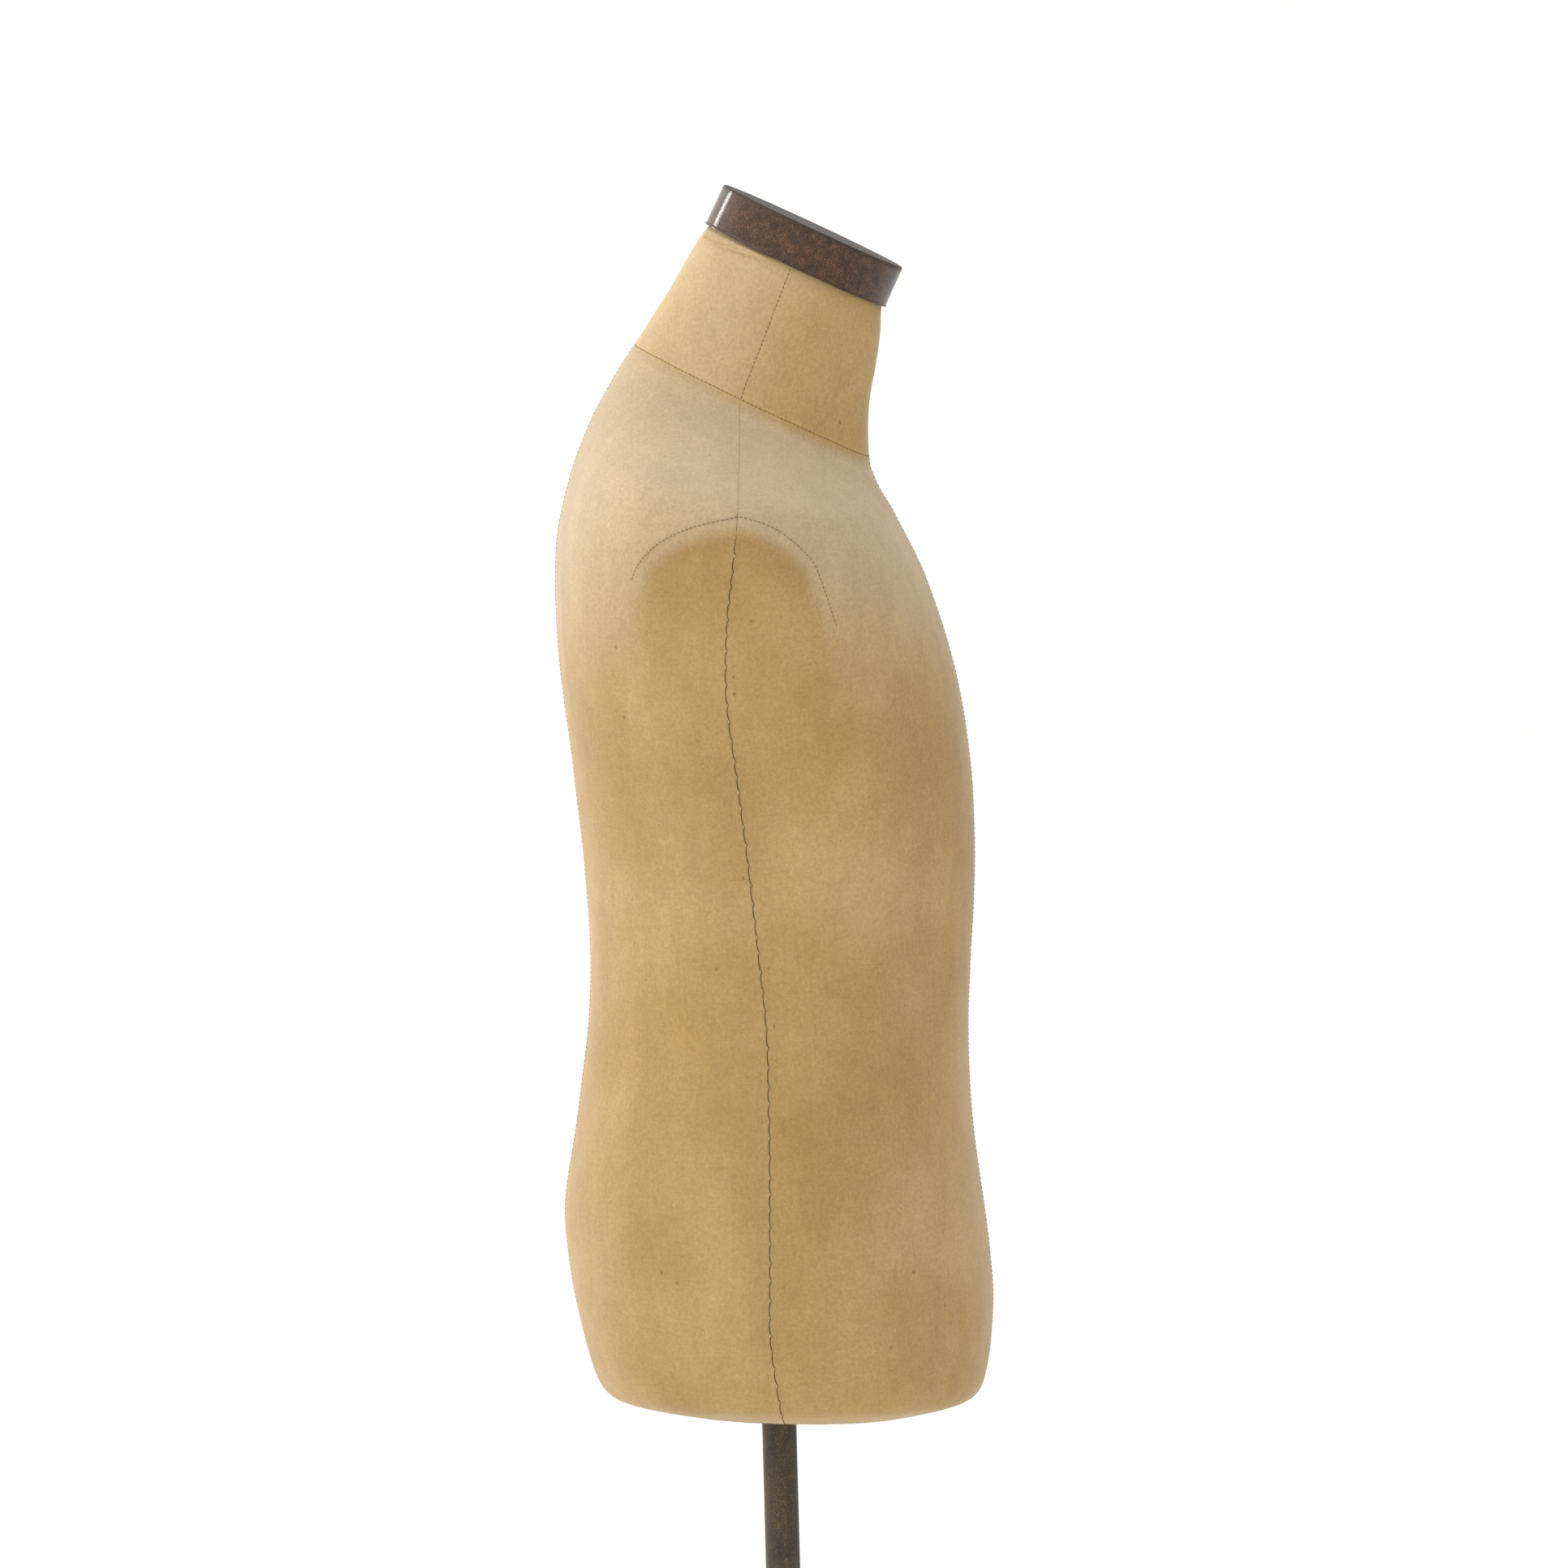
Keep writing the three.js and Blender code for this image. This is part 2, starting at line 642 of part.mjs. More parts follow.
// The clamp at the lower tube's top. The thumb screw comes in from behind, along +Y.
function buildClamp() {
  const alongY = (geometry) => geometry.rotateX(-Math.PI / 2).translate(0, 0, CLAMP_Z);
  const sleeve = turned([
    [TUBE_R + GAP, COLLAR_BOTTOM_Z],
    [COLLAR_R - 2, COLLAR_BOTTOM_Z],
    [COLLAR_R, COLLAR_BOTTOM_Z + 2],
    [COLLAR_R, COLLAR_TOP_Z - 2],
    [COLLAR_R - 2, COLLAR_TOP_Z],
    [BUSH_R + GAP, COLLAR_TOP_Z],
    [BUSH_R + GAP, TUBE_TOP_Z + GAP],
    [TUBE_R + GAP, TUBE_TOP_Z + GAP],
    [TUBE_R + GAP, COLLAR_BOTTOM_Z],
  ]);
  const boss = alongY(ring(CLAMP_HOLE_R, 9, 16, 28, 24));
  const hole = alongY(rod(CLAMP_HOLE_R, 5, 60, 24));
  add("collar", "cast_iron", cut(join(sleeve, boss), hole));

  const lip = COLLAR_TOP_Z + GAP;
  const bush = turned([
    [BUSH_BORE_R, COLLAR_BOTTOM_Z - 10],
    [BUSH_R, COLLAR_BOTTOM_Z - 10],
    [BUSH_R, lip],
    [17, lip],
    [17, lip + 1.5],
    [16, lip + 2.5],
    [BUSH_BORE_R, lip + 2.5],
    [BUSH_BORE_R, COLLAR_BOTTOM_Z - 10],
  ]);
  add("collar_bush", "brass", cut(bush, hole));

  add("clamp_pad", "brass", alongY(rod(CLAMP_HOLE_R - 0.6, POLE_R + GAP, 14, 20)));
  const wing = new THREE.Shape();
  wing.moveTo(-20, 3);
  wing.absarc(-17, 9.5, 7.5, Math.PI * 0.9, Math.PI * 0.18, true);
  wing.lineTo(-5.5, 6);
  wing.lineTo(5.5, 6);
  wing.absarc(17, 9.5, 7.5, Math.PI * 0.82, Math.PI * 0.1, true);
  wing.lineTo(20, 3);
  wing.lineTo(7, -5);
  wing.lineTo(-7, -5);
  const blade = new THREE.ExtrudeGeometry(wing, {
    depth: 5,
    bevelEnabled: false,
    curveSegments: 8,
  }).translate(0, 0, -2.5);
  blade.rotateX(Math.PI / 2).translate(0, 0, 36);
  const stem = turned(
    [
      [0, 14 + GAP],
      [CLAMP_HOLE_R - 0.6, 14 + GAP],
      [CLAMP_HOLE_R - 0.6, 29],
      [7.5, 29],
      [7.5, 39],
      [6, 41],
      [0, 41],
    ],
    24,
  );
  add("thumb_screw", "cast_iron", alongY(join(stem, blade)));
}

buildBase();
buildClamp();
buildPole();
buildFraming();
buildLayers();
buildCover();
buildUnderside();
buildNeckTop();

export default form;
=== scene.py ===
"""A canvas-covered dress form on a telescoping stand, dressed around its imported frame."""

import json
import math
import random

import bmesh
import bpy
from mathutils import Matrix, Vector, noise
from mathutils.bvhtree import BVHTree
from mathutils.kdtree import KDTree


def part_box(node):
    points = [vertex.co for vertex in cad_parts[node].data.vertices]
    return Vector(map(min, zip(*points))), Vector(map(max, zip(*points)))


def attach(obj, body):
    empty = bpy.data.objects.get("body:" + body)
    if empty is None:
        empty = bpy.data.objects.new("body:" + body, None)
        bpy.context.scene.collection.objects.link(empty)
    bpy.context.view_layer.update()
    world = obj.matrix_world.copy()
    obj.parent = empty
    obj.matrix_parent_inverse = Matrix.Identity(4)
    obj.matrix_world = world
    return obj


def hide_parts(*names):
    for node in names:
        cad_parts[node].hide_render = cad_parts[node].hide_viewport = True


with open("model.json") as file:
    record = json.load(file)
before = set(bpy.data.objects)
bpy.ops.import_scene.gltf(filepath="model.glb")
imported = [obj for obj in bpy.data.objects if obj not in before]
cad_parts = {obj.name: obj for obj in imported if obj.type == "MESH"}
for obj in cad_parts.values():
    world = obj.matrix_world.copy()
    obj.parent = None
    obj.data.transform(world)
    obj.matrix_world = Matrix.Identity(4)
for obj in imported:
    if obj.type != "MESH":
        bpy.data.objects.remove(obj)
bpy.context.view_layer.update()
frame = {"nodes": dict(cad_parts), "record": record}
MM = 0.001
MOUNTS = {mount["name"]: mount for mount in frame["record"]["mounts"]}


def middle(node):
    low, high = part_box(node)
    return (low + high) / 2


def size(node):
    low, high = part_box(node)
    return high - low


# Places that several pieces share.
NECK_AXIS = Vector(MOUNTS["neck_top"]["axis"]).normalized()
CAP_LEVELS = [vert.co.dot(NECK_AXIS) for vert in frame["nodes"]["neck_cap"].data.vertices]
CAP_HEIGHT = max(CAP_LEVELS) - min(CAP_LEVELS)
CAP_MIDDLE = Vector(MOUNTS["neck_top"]["pos_m"]) - NECK_AXIS * CAP_HEIGHT / 2
CAP_REACH = size("neck_cap").x / 2  # the cap's half width, side to side
CAP_STRETCH = 1 / 0.968  # it is a little longer front to back
TORSO_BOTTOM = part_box("bottom_board")[0].z

CLOTH_THICKNESS = 0.8 * MM
EDGE_ROLL = 0.2 * MM  # width of each step of a turned-in edge
STITCH_PITCH = 3 * MM
HAND_PITCH = 11.6 * MM

COVERS = [
    "cover_front_left",
    "cover_front_right",
    "cover_back_left",
    "cover_back_right",
    "neck_cover_front",
    "neck_cover_back",
]

# The armhole seam, (forwards, up) in mm from the shoulder's tip, from its back end to its front.
ARMHOLE = [
    (-68.5, -40),
    (-64.7, -29.5),
    (-52.2, -16.5),
    (-37.8, -9),
    (-23.5, -4.3),
    (0, 0),
    (16, -4.5),
    (30.3, -13.1),
    (44.6, -27.8),
    (48.2, -34.5),
    (52.7, -48.5),
    (59.9, -73),
]
SHOULDER_TIP = (-10, 582.5)  # forwards of the pole, above the torso's underside, in mm
ARCH = (SHOULDER_TIP[0] + ARMHOLE[0][0], SHOULDER_TIP[0] + ARMHOLE[-1][0])
FADED_LIT_FROM, FADED_LIT_ABOVE = 452, 588  # the cloth is painted paler from here up, as faded and lit from above, in mm above the underside
PLAIN_DROP = 0.08 * MM  # how deep a machine-sewn edge is turned in
HAND_DROP, STITCHED_RISE = 0.55, 0.42  # the hand-sewn edge's depth, less at a stitch, in mm


# Materials


def linear(code):
    """An sRGB hex colour as a linear one."""
    parts = [int(code[k : k + 2], 16) / 255 for k in (1, 3, 5)]
    return (*(c / 12.92 if c < 0.04045 else ((c + 0.055) / 1.055) ** 2.4 for c in parts), 1)


def add(tree, kind, sockets=None, stops=None, **settings):
    """Adds a node with its settings, its sockets' values or links, and a ramp's stops."""
    made = tree.nodes.new("ShaderNode" + kind)
    for key, value in settings.items():
        setattr(made, key, value)
    for key, value in (sockets or {}).items():
        if isinstance(value, bpy.types.NodeSocket):
            tree.links.new(value, made.inputs[key])
        else:
            made.inputs[key].default_value = value
    if stops:
        ramp = made.color_ramp.elements
        while len(ramp) < len(stops):
            ramp.new(0.5)
        for element, (place, colour) in zip(ramp, stops):
            element.position = place
            element.color = linear(colour) if isinstance(colour, str) else (colour,) * 3 + (1,)
    return made


def start_material(name):
    made = bpy.data.materials.new(name)
    made.use_nodes = True
    tree = made.node_tree
    return made, tree, tree.nodes["Principled BSDF"]


def set_sockets(tree, shader, sockets):
    for key, value in sockets.items():
        if isinstance(value, bpy.types.NodeSocket):
            tree.links.new(value, shader.inputs[key])
        else:
            shader.inputs[key].default_value = value


def wave_scale(length):
    """The Wave node's scale for bands of this length in metres."""
    return math.pi / 10 / length


def aged_linen_canvas(name, base, worn, soiled, faded_and_lit_colour):
    """Unbleached linen canvas, plain woven and stretched damp over the form: a matt, slightly hairy
    cloth whose uneven threads show as fine crossing streaks, yellowed and soiled by handling,
    darkened with painted shade where the skin marks it, and painted paler, as faded and lit from
    above, where it faces up, and as lit from behind on the neck's back."""
    made, tree, shader = start_material(name)
    cloth = add(tree, "UVMap", uv_map="Cloth").outputs["UV"]
    place = add(tree, "TexCoord").outputs["Object"]

    # Threads are about 0.55 mm apart. They are drawn 1.1 mm apart, to show at all from afar.
    def threads(direction):
        return add(
            tree,
            "TexWave",
            {"Vector": cloth, "Scale": wave_scale(1.1 * MM), "Distortion": 1.6, "Detail": 2.0,
             "Detail Scale": 0.35},
            wave_type="BANDS",
            bands_direction=direction,
        ).outputs["Fac"]

    weave = add(tree, "Math", {0: threads("X"), 1: threads("Y")}, operation="MAXIMUM").outputs[0]

    # Thick places in the yarn, about 12 to 30 mm long and a millimetre wide, lie along both ways.
    def slubs(across, up):
        spread = add(tree, "Mapping", {"Vector": cloth, "Scale": (across, up, 1)})
        return add(
            tree,
            "TexNoise",
            {"Vector": spread.outputs[0], "Scale": 1.0, "Detail": 2.5, "Roughness": 0.6},
        ).outputs["Fac"]

    slub = add(tree, "Math", {0: slubs(620, 40), 1: slubs(48, 700)}, operation="ADD").outputs[0]
    rare_slub = add(
        tree, "Math", {0: slubs(380, 34), 1: slubs(30, 520)}, operation="MINIMUM"
    ).outputs[0]

    def cloud(scale, detail, roughness, stretch=1.0):
        spot = place
        if stretch != 1.0:
            spread = add(tree, "Mapping", {"Vector": place, "Scale": (1, 1, 1 / stretch)})
            spot = spread.outputs[0]
        return add(
            tree,
            "TexNoise",
            {"Vector": spot, "Scale": scale, "Detail": detail, "Roughness": roughness},
        ).outputs["Fac"]

    blotches = cloud(10.0, 4.0, 0.55)
    runs = cloud(21.0, 4.0, 0.6, 4.0)  # damp stains that ran down
    mottle = cloud(75.0, 4.0, 0.65)
    grain = cloud(450.0, 5.0, 0.8)

    ground = add(
        tree, "ValToRGB", {"Fac": blotches}, stops=[(0.3, soiled), (0.5, base), (0.7, worn)]
    ).outputs["Color"]
    # Painted paler where the skin marks it: faded cloth that is also lit from above on the
    # shoulders, and lit from behind on the neck's back.
    faded_and_lit = add(tree, "Attribute", attribute_name="faded_and_lit").outputs["Fac"]
    ground = add(tree, "Mix", {"Factor": faded_and_lit, "A": ground, "B": linear(faded_and_lit_colour)}, data_type="RGBA")
    ground = ground.outputs["Result"]
    tones = [
        (runs, 0.38, 0.64, 0.95, 1.035),
        (mottle, 0.33, 0.67, 0.965, 1.03),
        (grain, 0.38, 0.62, 0.9, 1.09),
        (slub, 0.86, 1.16, 0.985, 1.012),
        (rare_slub, 0.52, 0.6, 1.0, 0.94),
        (weave, 0.35, 1.0, 0.975, 1.01),
    ]
    for source, low, high, dark, light in tones:
        tone = add(
            tree,
            "MapRange",
            {"Value": source, "From Min": low, "From Max": high, "To Min": dark,
             "To Max": light},
        ).outputs["Result"]
        ground = add(
            tree, "VectorMath", {0: ground, "Scale": tone}, operation="SCALE"
        ).outputs["Vector"]
    # Darker towards an olive brown where the skin marks it: painted shade under the armhole ridges,
    # below the cap's lip and beside the hand-sewn folds, and soil along the seams.
    soil_and_painted_shade = add(tree, "Attribute", attribute_name="soil_and_painted_shade").outputs["Fac"]
    patchy = add(
        tree,
        "MapRange",
        {"Value": mottle, "From Min": 0.3, "From Max": 0.7, "To Min": 0.7, "To Max": 1.0},
    ).outputs["Result"]
    soil_and_painted_shade = add(tree, "Math", {0: soil_and_painted_shade, 1: patchy}, operation="MULTIPLY").outputs[0]
    ground = add(
        tree, "Mix", {"Factor": soil_and_painted_shade, "A": ground, "B": linear("#70603a")}, data_type="RGBA"
    ).outputs["Result"]
    # Husk flecks and loose fibre ends: soft dark specks, and pale ones longer than wide.
    for scale, stretch, share, reach, depth, colour in (
        (130.0, 1.0, 0.018, 0.22, 0.45, "#6b552f"), (330.0, 2.5, 0.12, 0.17, 0.35, "#d3bd8b")
    ):
        drawn = add(
            tree,
            "Mapping",
            {"Vector": place, "Rotation": (0.5, 0.2, 0.0), "Scale": (1, 1, 1 / stretch)},
        ).outputs[0]
        cell = add(tree, "TexVoronoi", {"Vector": drawn, "Scale": scale, "Randomness": 1.0})
        sparse = add(tree, "SeparateColor", {"Color": cell.outputs["Color"]}).outputs["Red"]
        rare = add(tree, "Math", {0: sparse, 1: share}, operation="LESS_THAN").outputs[0]
        spot = add(
            tree,
            "MapRange",
            {"Value": cell.outputs["Distance"], "From Min": reach * 0.4, "From Max": reach,
             "To Min": depth, "To Max": 0.0},
        ).outputs["Result"]
        spot = add(tree, "Math", {0: rare, 1: spot}, operation="MULTIPLY").outputs[0]
        ground = add(
            tree, "Mix", {"Factor": spot, "A": ground, "B": linear(colour)}, data_type="RGBA"
        ).outputs["Result"]

    relief = add(tree, "Math", {0: slub, 1: 1.4, 2: weave}, operation="MULTIPLY_ADD").outputs[0]
    bump = add(
        tree, "Bump", {"Height": relief, "Strength": 0.4, "Distance": 0.12 * MM}
    ).outputs["Normal"]
    bump = add(
        tree, "Bump", {"Height": grain, "Strength": 0.35, "Distance": 0.25 * MM, "Normal": bump}
    ).outputs["Normal"]
    bump = add(
        tree, "Bump", {"Height": mottle, "Strength": 0.35, "Distance": 0.9 * MM, "Normal": bump}
    ).outputs["Normal"]
    rough = add(
        tree,
        "MapRange",
        {"Value": slub, "From Min": 0.8, "From Max": 1.2, "To Min": 0.96, "To Max": 0.84},
    ).outputs["Result"]
    set_sockets(
        tree,
        shader,
        {
            "Base Color": ground,
            "Roughness": rough,
            "IOR": 1.45,
            "Specular IOR Level": 0.2,
            "Sheen Weight": 0.25,
            "Sheen Roughness": 0.4,
            "Sheen Tint": linear("#fffaf2"),
            "Normal": bump,
        },
    )
    return made


def rusted_lacquered_iron():
    """Sheet iron left to rust and then lacquered: brown-black and orange-brown mottling with a
    thin clear gloss over a pitted surface."""
    made, tree, shader = start_material("rusted_lacquered_iron")
    place = add(tree, "TexCoord").outputs["Object"]
    broad = add(
        tree,
        "TexNoise",
        {"Vector": place, "Scale": 140.0, "Detail": 7.0, "Roughness": 0.7, "Distortion": 0.4},
    ).outputs["Fac"]
    # Rust grains are 0.3 to 1 mm across.
    grain = add(
        tree, "TexNoise", {"Vector": place, "Scale": 1100.0, "Detail": 5.0, "Roughness": 0.75}
    ).outputs["Fac"]
    patches = add(tree, "Math", {0: broad, 1: 0.5}, operation="MULTIPLY").outputs[0]
    blend = add(tree, "Math", {0: grain, 1: 1.2, 2: patches}, operation="MULTIPLY_ADD").outputs[0]
    colour = add(
        tree,
        "ValToRGB",
        {"Fac": add(tree, "Math", {0: blend, 1: 0.588}, operation="MULTIPLY").outputs[0]},
        stops=[
            (0.36, "#231913"),
            (0.44, "#35281f"),
            (0.5, "#473527"),
            (0.57, "#6c4526"),
            (0.65, "#8a592c"),
        ],
    ).outputs["Color"]
    red = add(
        tree, "TexNoise", {"Vector": place, "Scale": 90.0, "Detail": 3.0, "Roughness": 0.6}
    ).outputs["Fac"]
    reddish = add(
        tree,
        "MapRange",
        {"Value": red, "From Min": 0.6, "From Max": 0.72, "To Min": 0.0, "To Max": 0.55},
    ).outputs["Result"]
    colour = add(
        tree, "Mix", {"Factor": reddish, "A": colour, "B": linear("#5a2a20")}, data_type="RGBA"
    ).outputs["Result"]
    wear = add(tree, "Attribute", attribute_name="wear").outputs["Fac"]
    colour = add(
        tree, "Mix", {"Factor": wear, "A": colour, "B": linear("#453b35")}, data_type="RGBA"
    ).outputs["Result"]
    # The lacquer is rubbed off the top and the edges.
    lacquer = add(
        tree, "MapRange", {"Value": wear, "To Min": 0.5, "To Max": 0.03}
    ).outputs["Result"]
    # Pits 2 mm apart break its gloss.
    pitted = add(tree, "TexNoise", {"Vector": place, "Scale": 480.0, "Detail": 3.0}).outputs["Fac"]
    pits = add(
        tree, "Bump", {"Height": pitted, "Strength": 0.5, "Distance": 0.14 * MM}
    ).outputs["Normal"]
    metal = add(
        tree,
        "MapRange",
        {"Value": blend, "From Min": 0.75, "From Max": 1.05, "To Min": 0.5, "To Max": 0.1},
    ).outputs["Result"]
    rough = add(
        tree,
        "MapRange",
        {"Value": grain, "From Min": 0.3, "From Max": 0.7, "To Min": 0.5, "To Max": 0.78},
    ).outputs["Result"]
    bump = add(
        tree, "Bump", {"Height": grain, "Strength": 0.5, "Distance": 0.6 * MM}
    ).outputs["Normal"]
    set_sockets(
        tree,
        shader,
        {
            "Base Color": colour,
            "Metallic": metal,
            "Roughness": rough,
            "Specular IOR Level": 0.25,
            "Coat Weight": lacquer,
            "Coat Roughness": 0.1,
            "Coat Normal": pits,
            "Normal": bump,
        },
    )
    return made


def patinated_metal(name, dark, mid, fleck, metallic, roughness, fleck_size, amount):
    """Drawn steel, iron or brass darkened by a chemical patina and waxed: an even dark ground with
    fine lighter flecks and faint lengthways lines, at a soft shine."""
    made, tree, shader = start_material(name)
    place = add(tree, "TexCoord").outputs["Object"]
    lines = add(tree, "Mapping", {"Vector": place, "Scale": (900, 900, 9)}).outputs[0]
    drawn = add(
        tree, "TexNoise", {"Vector": lines, "Scale": 1.0, "Detail": 2.0, "Roughness": 0.6}
    ).outputs["Fac"]
    cloud = add(
        tree, "TexNoise", {"Vector": place, "Scale": 55.0, "Detail": 5.0, "Roughness": 0.65}
    ).outputs["Fac"]
    specks = add(
        tree,
        "TexNoise",
        {"Vector": place, "Scale": 1 / fleck_size, "Detail": 3.0, "Roughness": 0.7},
    ).outputs["Fac"]
    ground = add(
        tree, "ValToRGB", {"Fac": cloud}, stops=[(0.36, dark), (0.62, mid)]
    ).outputs["Color"]
    gate = add(tree, "Math", {0: cloud, 1: 0.25, 2: specks}, operation="MULTIPLY_ADD").outputs[0]
    share = add(
        tree,
        "MapRange",
        {"Value": gate, "From Min": 0.68, "From Max": 0.76, "To Min": 0.0, "To Max": amount},
    ).outputs["Result"]
    ground = add(
        tree, "Mix", {"Factor": share, "A": ground, "B": linear(fleck)}, data_type="RGBA"
    ).outputs["Result"]
    tone = add(
        tree,
        "MapRange",
        {"Value": drawn, "From Min": 0.3, "From Max": 0.7, "To Min": 0.85, "To Max": 1.15},
    ).outputs["Result"]
    ground = add(
        tree, "VectorMath", {0: ground, "Scale": tone}, operation="SCALE"
    ).outputs["Vector"]
    rough = add(
        tree,
        "MapRange",
        {"Value": cloud, "From Min": 0.3, "From Max": 0.7, "To Min": roughness - 0.08,
         "To Max": roughness + 0.12},
    ).outputs["Result"]
    bump = add(
        tree, "Bump", {"Height": specks, "Strength": 0.3, "Distance": 0.12 * MM}
    ).outputs["Normal"]
    bump = add(
        tree, "Bump", {"Height": drawn, "Strength": 0.2, "Distance": 0.05 * MM, "Normal": bump}
    ).outputs["Normal"]
    set_sockets(
        tree,
        shader,
        {"Base Color": ground, "Metallic": metallic, "Roughness": rough, "Normal": bump},
    )
    return made


def planed_pine():
    """Planed softwood, unfinished: pale, matt, with darker lengthways grain."""
    made, tree, shader = start_material("planed_pine")
    place = add(tree, "TexCoord").outputs["Object"]
    along = add(tree, "Mapping", {"Vector": place, "Scale": (6, 90, 90)}).outputs[0]
    grain = add(
        tree,
        "TexNoise",
        {"Vector": along, "Scale": 1.0, "Detail": 5.0, "Roughness": 0.6, "Distortion": 0.8},
    ).outputs["Fac"]
    colour = add(
        tree,
        "ValToRGB",
        {"Fac": grain},
        stops=[(0.36, "#9a7040"), (0.5, "#c09862"), (0.66, "#d2b07c")],
    ).outputs["Color"]
    bump = add(
        tree, "Bump", {"Height": grain, "Strength": 0.3, "Distance": 0.2 * MM}
    ).outputs["Normal"]
    rough = add(tree, "MapRange", {"Value": grain, "To Min": 0.6, "To Max": 0.8}).outputs["Result"]
    set_sockets(tree, shader, {"Base Color": colour, "Roughness": rough, "Normal": bump})
    return made


def soft_matter(name, dark, light, grain_size, depth, sheen):
    """Pasted paper, cotton wadding or pressed felt: matt and fibrous, with no shine of its own."""
    made, tree, shader = start_material(name)
    place = add(tree, "TexCoord").outputs["Object"]
    fibres = add(
        tree,
        "TexNoise",
        {"Vector": place, "Scale": 1 / grain_size, "Detail": 6.0, "Roughness": 0.7,
         "Distortion": 1.5},
    ).outputs["Fac"]
    colour = add(
        tree, "ValToRGB", {"Fac": fibres}, stops=[(0.35, dark), (0.65, light)]
    ).outputs["Color"]
    bump = add(
        tree, "Bump", {"Height": fibres, "Strength": 0.6, "Distance": depth}
    ).outputs["Normal"]
    rough = add(
        tree, "MapRange", {"Value": fibres, "To Min": 0.85, "To Max": 1.0}
    ).outputs["Result"]
    set_sockets(
        tree,
        shader,
        {"Base Color": colour, "Roughness": rough, "Normal": bump, "Sheen Weight": sheen,
         "Sheen Roughness": 0.5},
    )
    return made


def spun_thread(name, dark, light):
    """Waxed linen thread: two plies twisted together, with a dull shine."""
    made, tree, shader = start_material(name)
    place = add(tree, "TexCoord").outputs["Object"]
    twist = add(
        tree,
        "TexWave",
        {"Vector": place, "Scale": wave_scale(0.9 * MM), "Distortion": 2.0, "Detail": 1.0},
        wave_type="BANDS",
        bands_direction="DIAGONAL",
    ).outputs["Fac"]
    colour = add(
        tree, "ValToRGB", {"Fac": twist}, stops=[(0.2, dark), (0.8, light)]
    ).outputs["Color"]
    bump = add(
        tree, "Bump", {"Height": twist, "Strength": 0.5, "Distance": 0.1 * MM}
    ).outputs["Normal"]
    rough = add(tree, "MapRange", {"Value": twist, "To Min": 0.6, "To Max": 0.8}).outputs["Result"]
    set_sockets(tree, shader, {"Base Color": colour, "Roughness": rough, "Normal": bump})
    return made


CANVAS = aged_linen_canvas("aged_linen_canvas", "#b2925f", "#bb9c6c", "#a98955", "#c2ad8d")
# The neck's copy of the canvas is painted lighter than the body's, for the light that falls on the
# neck.
LIT_NECK_CANVAS = aged_linen_canvas("aged_neck_canvas_painted_lighter", "#b79864", "#bfa06f", "#ae8e59", "#d0bb95")
RUSTED = rusted_lacquered_iron()
POLE_STEEL = patinated_metal(
    "patinated_pole_steel", "#332a22", "#43382d", "#8c6d3e", 0.25, 0.52, 0.7 * MM, 0.6
)
BLACKED_IRON = patinated_metal(
    "blacked_cast_iron", "#1f1c1a", "#35302b", "#5d5146", 0.7, 0.5, 1.4 * MM, 0.4
)
AGED_BRASS = patinated_metal(
    "aged_brass", "#7a5c2a", "#ad8744", "#d0aa62", 1.0, 0.34, 1.1 * MM, 0.5
)
ZINC_STEEL = patinated_metal(
    "zinc_plated_steel", "#77766f", "#9a9892", "#bdbbb2", 1.0, 0.34, 1.8 * MM, 0.5
)
PINE = planed_pine()
PASTED_PAPER = soft_matter("pasted_paper", "#84694a", "#ab9270", 6 * MM, 0.6 * MM, 0.0)
COTTON_WADDING = soft_matter("cotton_wadding", "#d8cfba", "#f0eadb", 4 * MM, 1.5 * MM, 0.4)
PRESSED_FELT = soft_matter("pressed_felt", "#201e1c", "#38342f", 1.5 * MM, 0.5 * MM, 0.3)
SEWING_THREAD = spun_thread("brown_sewing_thread", "#5f4a28", "#7a6236")
PALE_THREAD = spun_thread("pale_sewing_thread", "#97804f", "#b09763")
WAXED_THREAD = spun_thread("waxed_hand_thread", "#a28a57", "#cbb583")

SLOT_MATERIALS = {
    "canvas": CANVAS,
    "wadding": COTTON_WADDING,
    "papier_mache": PASTED_PAPER,
    "timber": PINE,
    "rusted_iron": RUSTED,
    "pole_steel": POLE_STEEL,
    "cast_iron": BLACKED_IRON,
    "brass": AGED_BRASS,
    "zinc_steel": ZINC_STEEL,
    "felt": PRESSED_FELT,
}


# Making pieces


def smooth_step(low, high, value):
    share = min(max((value - low) / (high - low), 0), 1)
    return share * share * (3 - 2 * share)


def merged_copy(node):
    """A CAD node's mesh as a bmesh with its loose triangles joined up."""
    bm = bmesh.new()
    bm.from_mesh(frame["nodes"][node].data)
    bmesh.ops.remove_doubles(bm, verts=bm.verts[:], dist=0.01 * MM)
    return bm


def join_pairs(bm):
    """Joins flat pairs of triangles into quads."""
    flat, square = math.radians(60), math.radians(85)
    bmesh.ops.join_triangles(
        bm, faces=bm.faces[:], angle_face_threshold=flat, angle_shape_threshold=square
    )


def into_object(bm, name):
    mesh = bpy.data.meshes.new(name)
    bm.to_mesh(mesh)
    bm.free()
    made = bpy.data.objects.new(name, mesh)
    bpy.context.scene.collection.objects.link(made)
    return made


def settle(piece, body, material, replaced=(), sharp=40):
    """Gives a finished piece its shading, material, body and the CAD nodes it stands for."""
    piece.data.shade_smooth()
    if sharp:
        piece.data.set_sharp_from_angle(angle=math.radians(sharp))
    piece.data.materials.clear()
    piece.data.materials.append(material)
    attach(piece, body)
    if replaced:
        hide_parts(*replaced)
    return piece


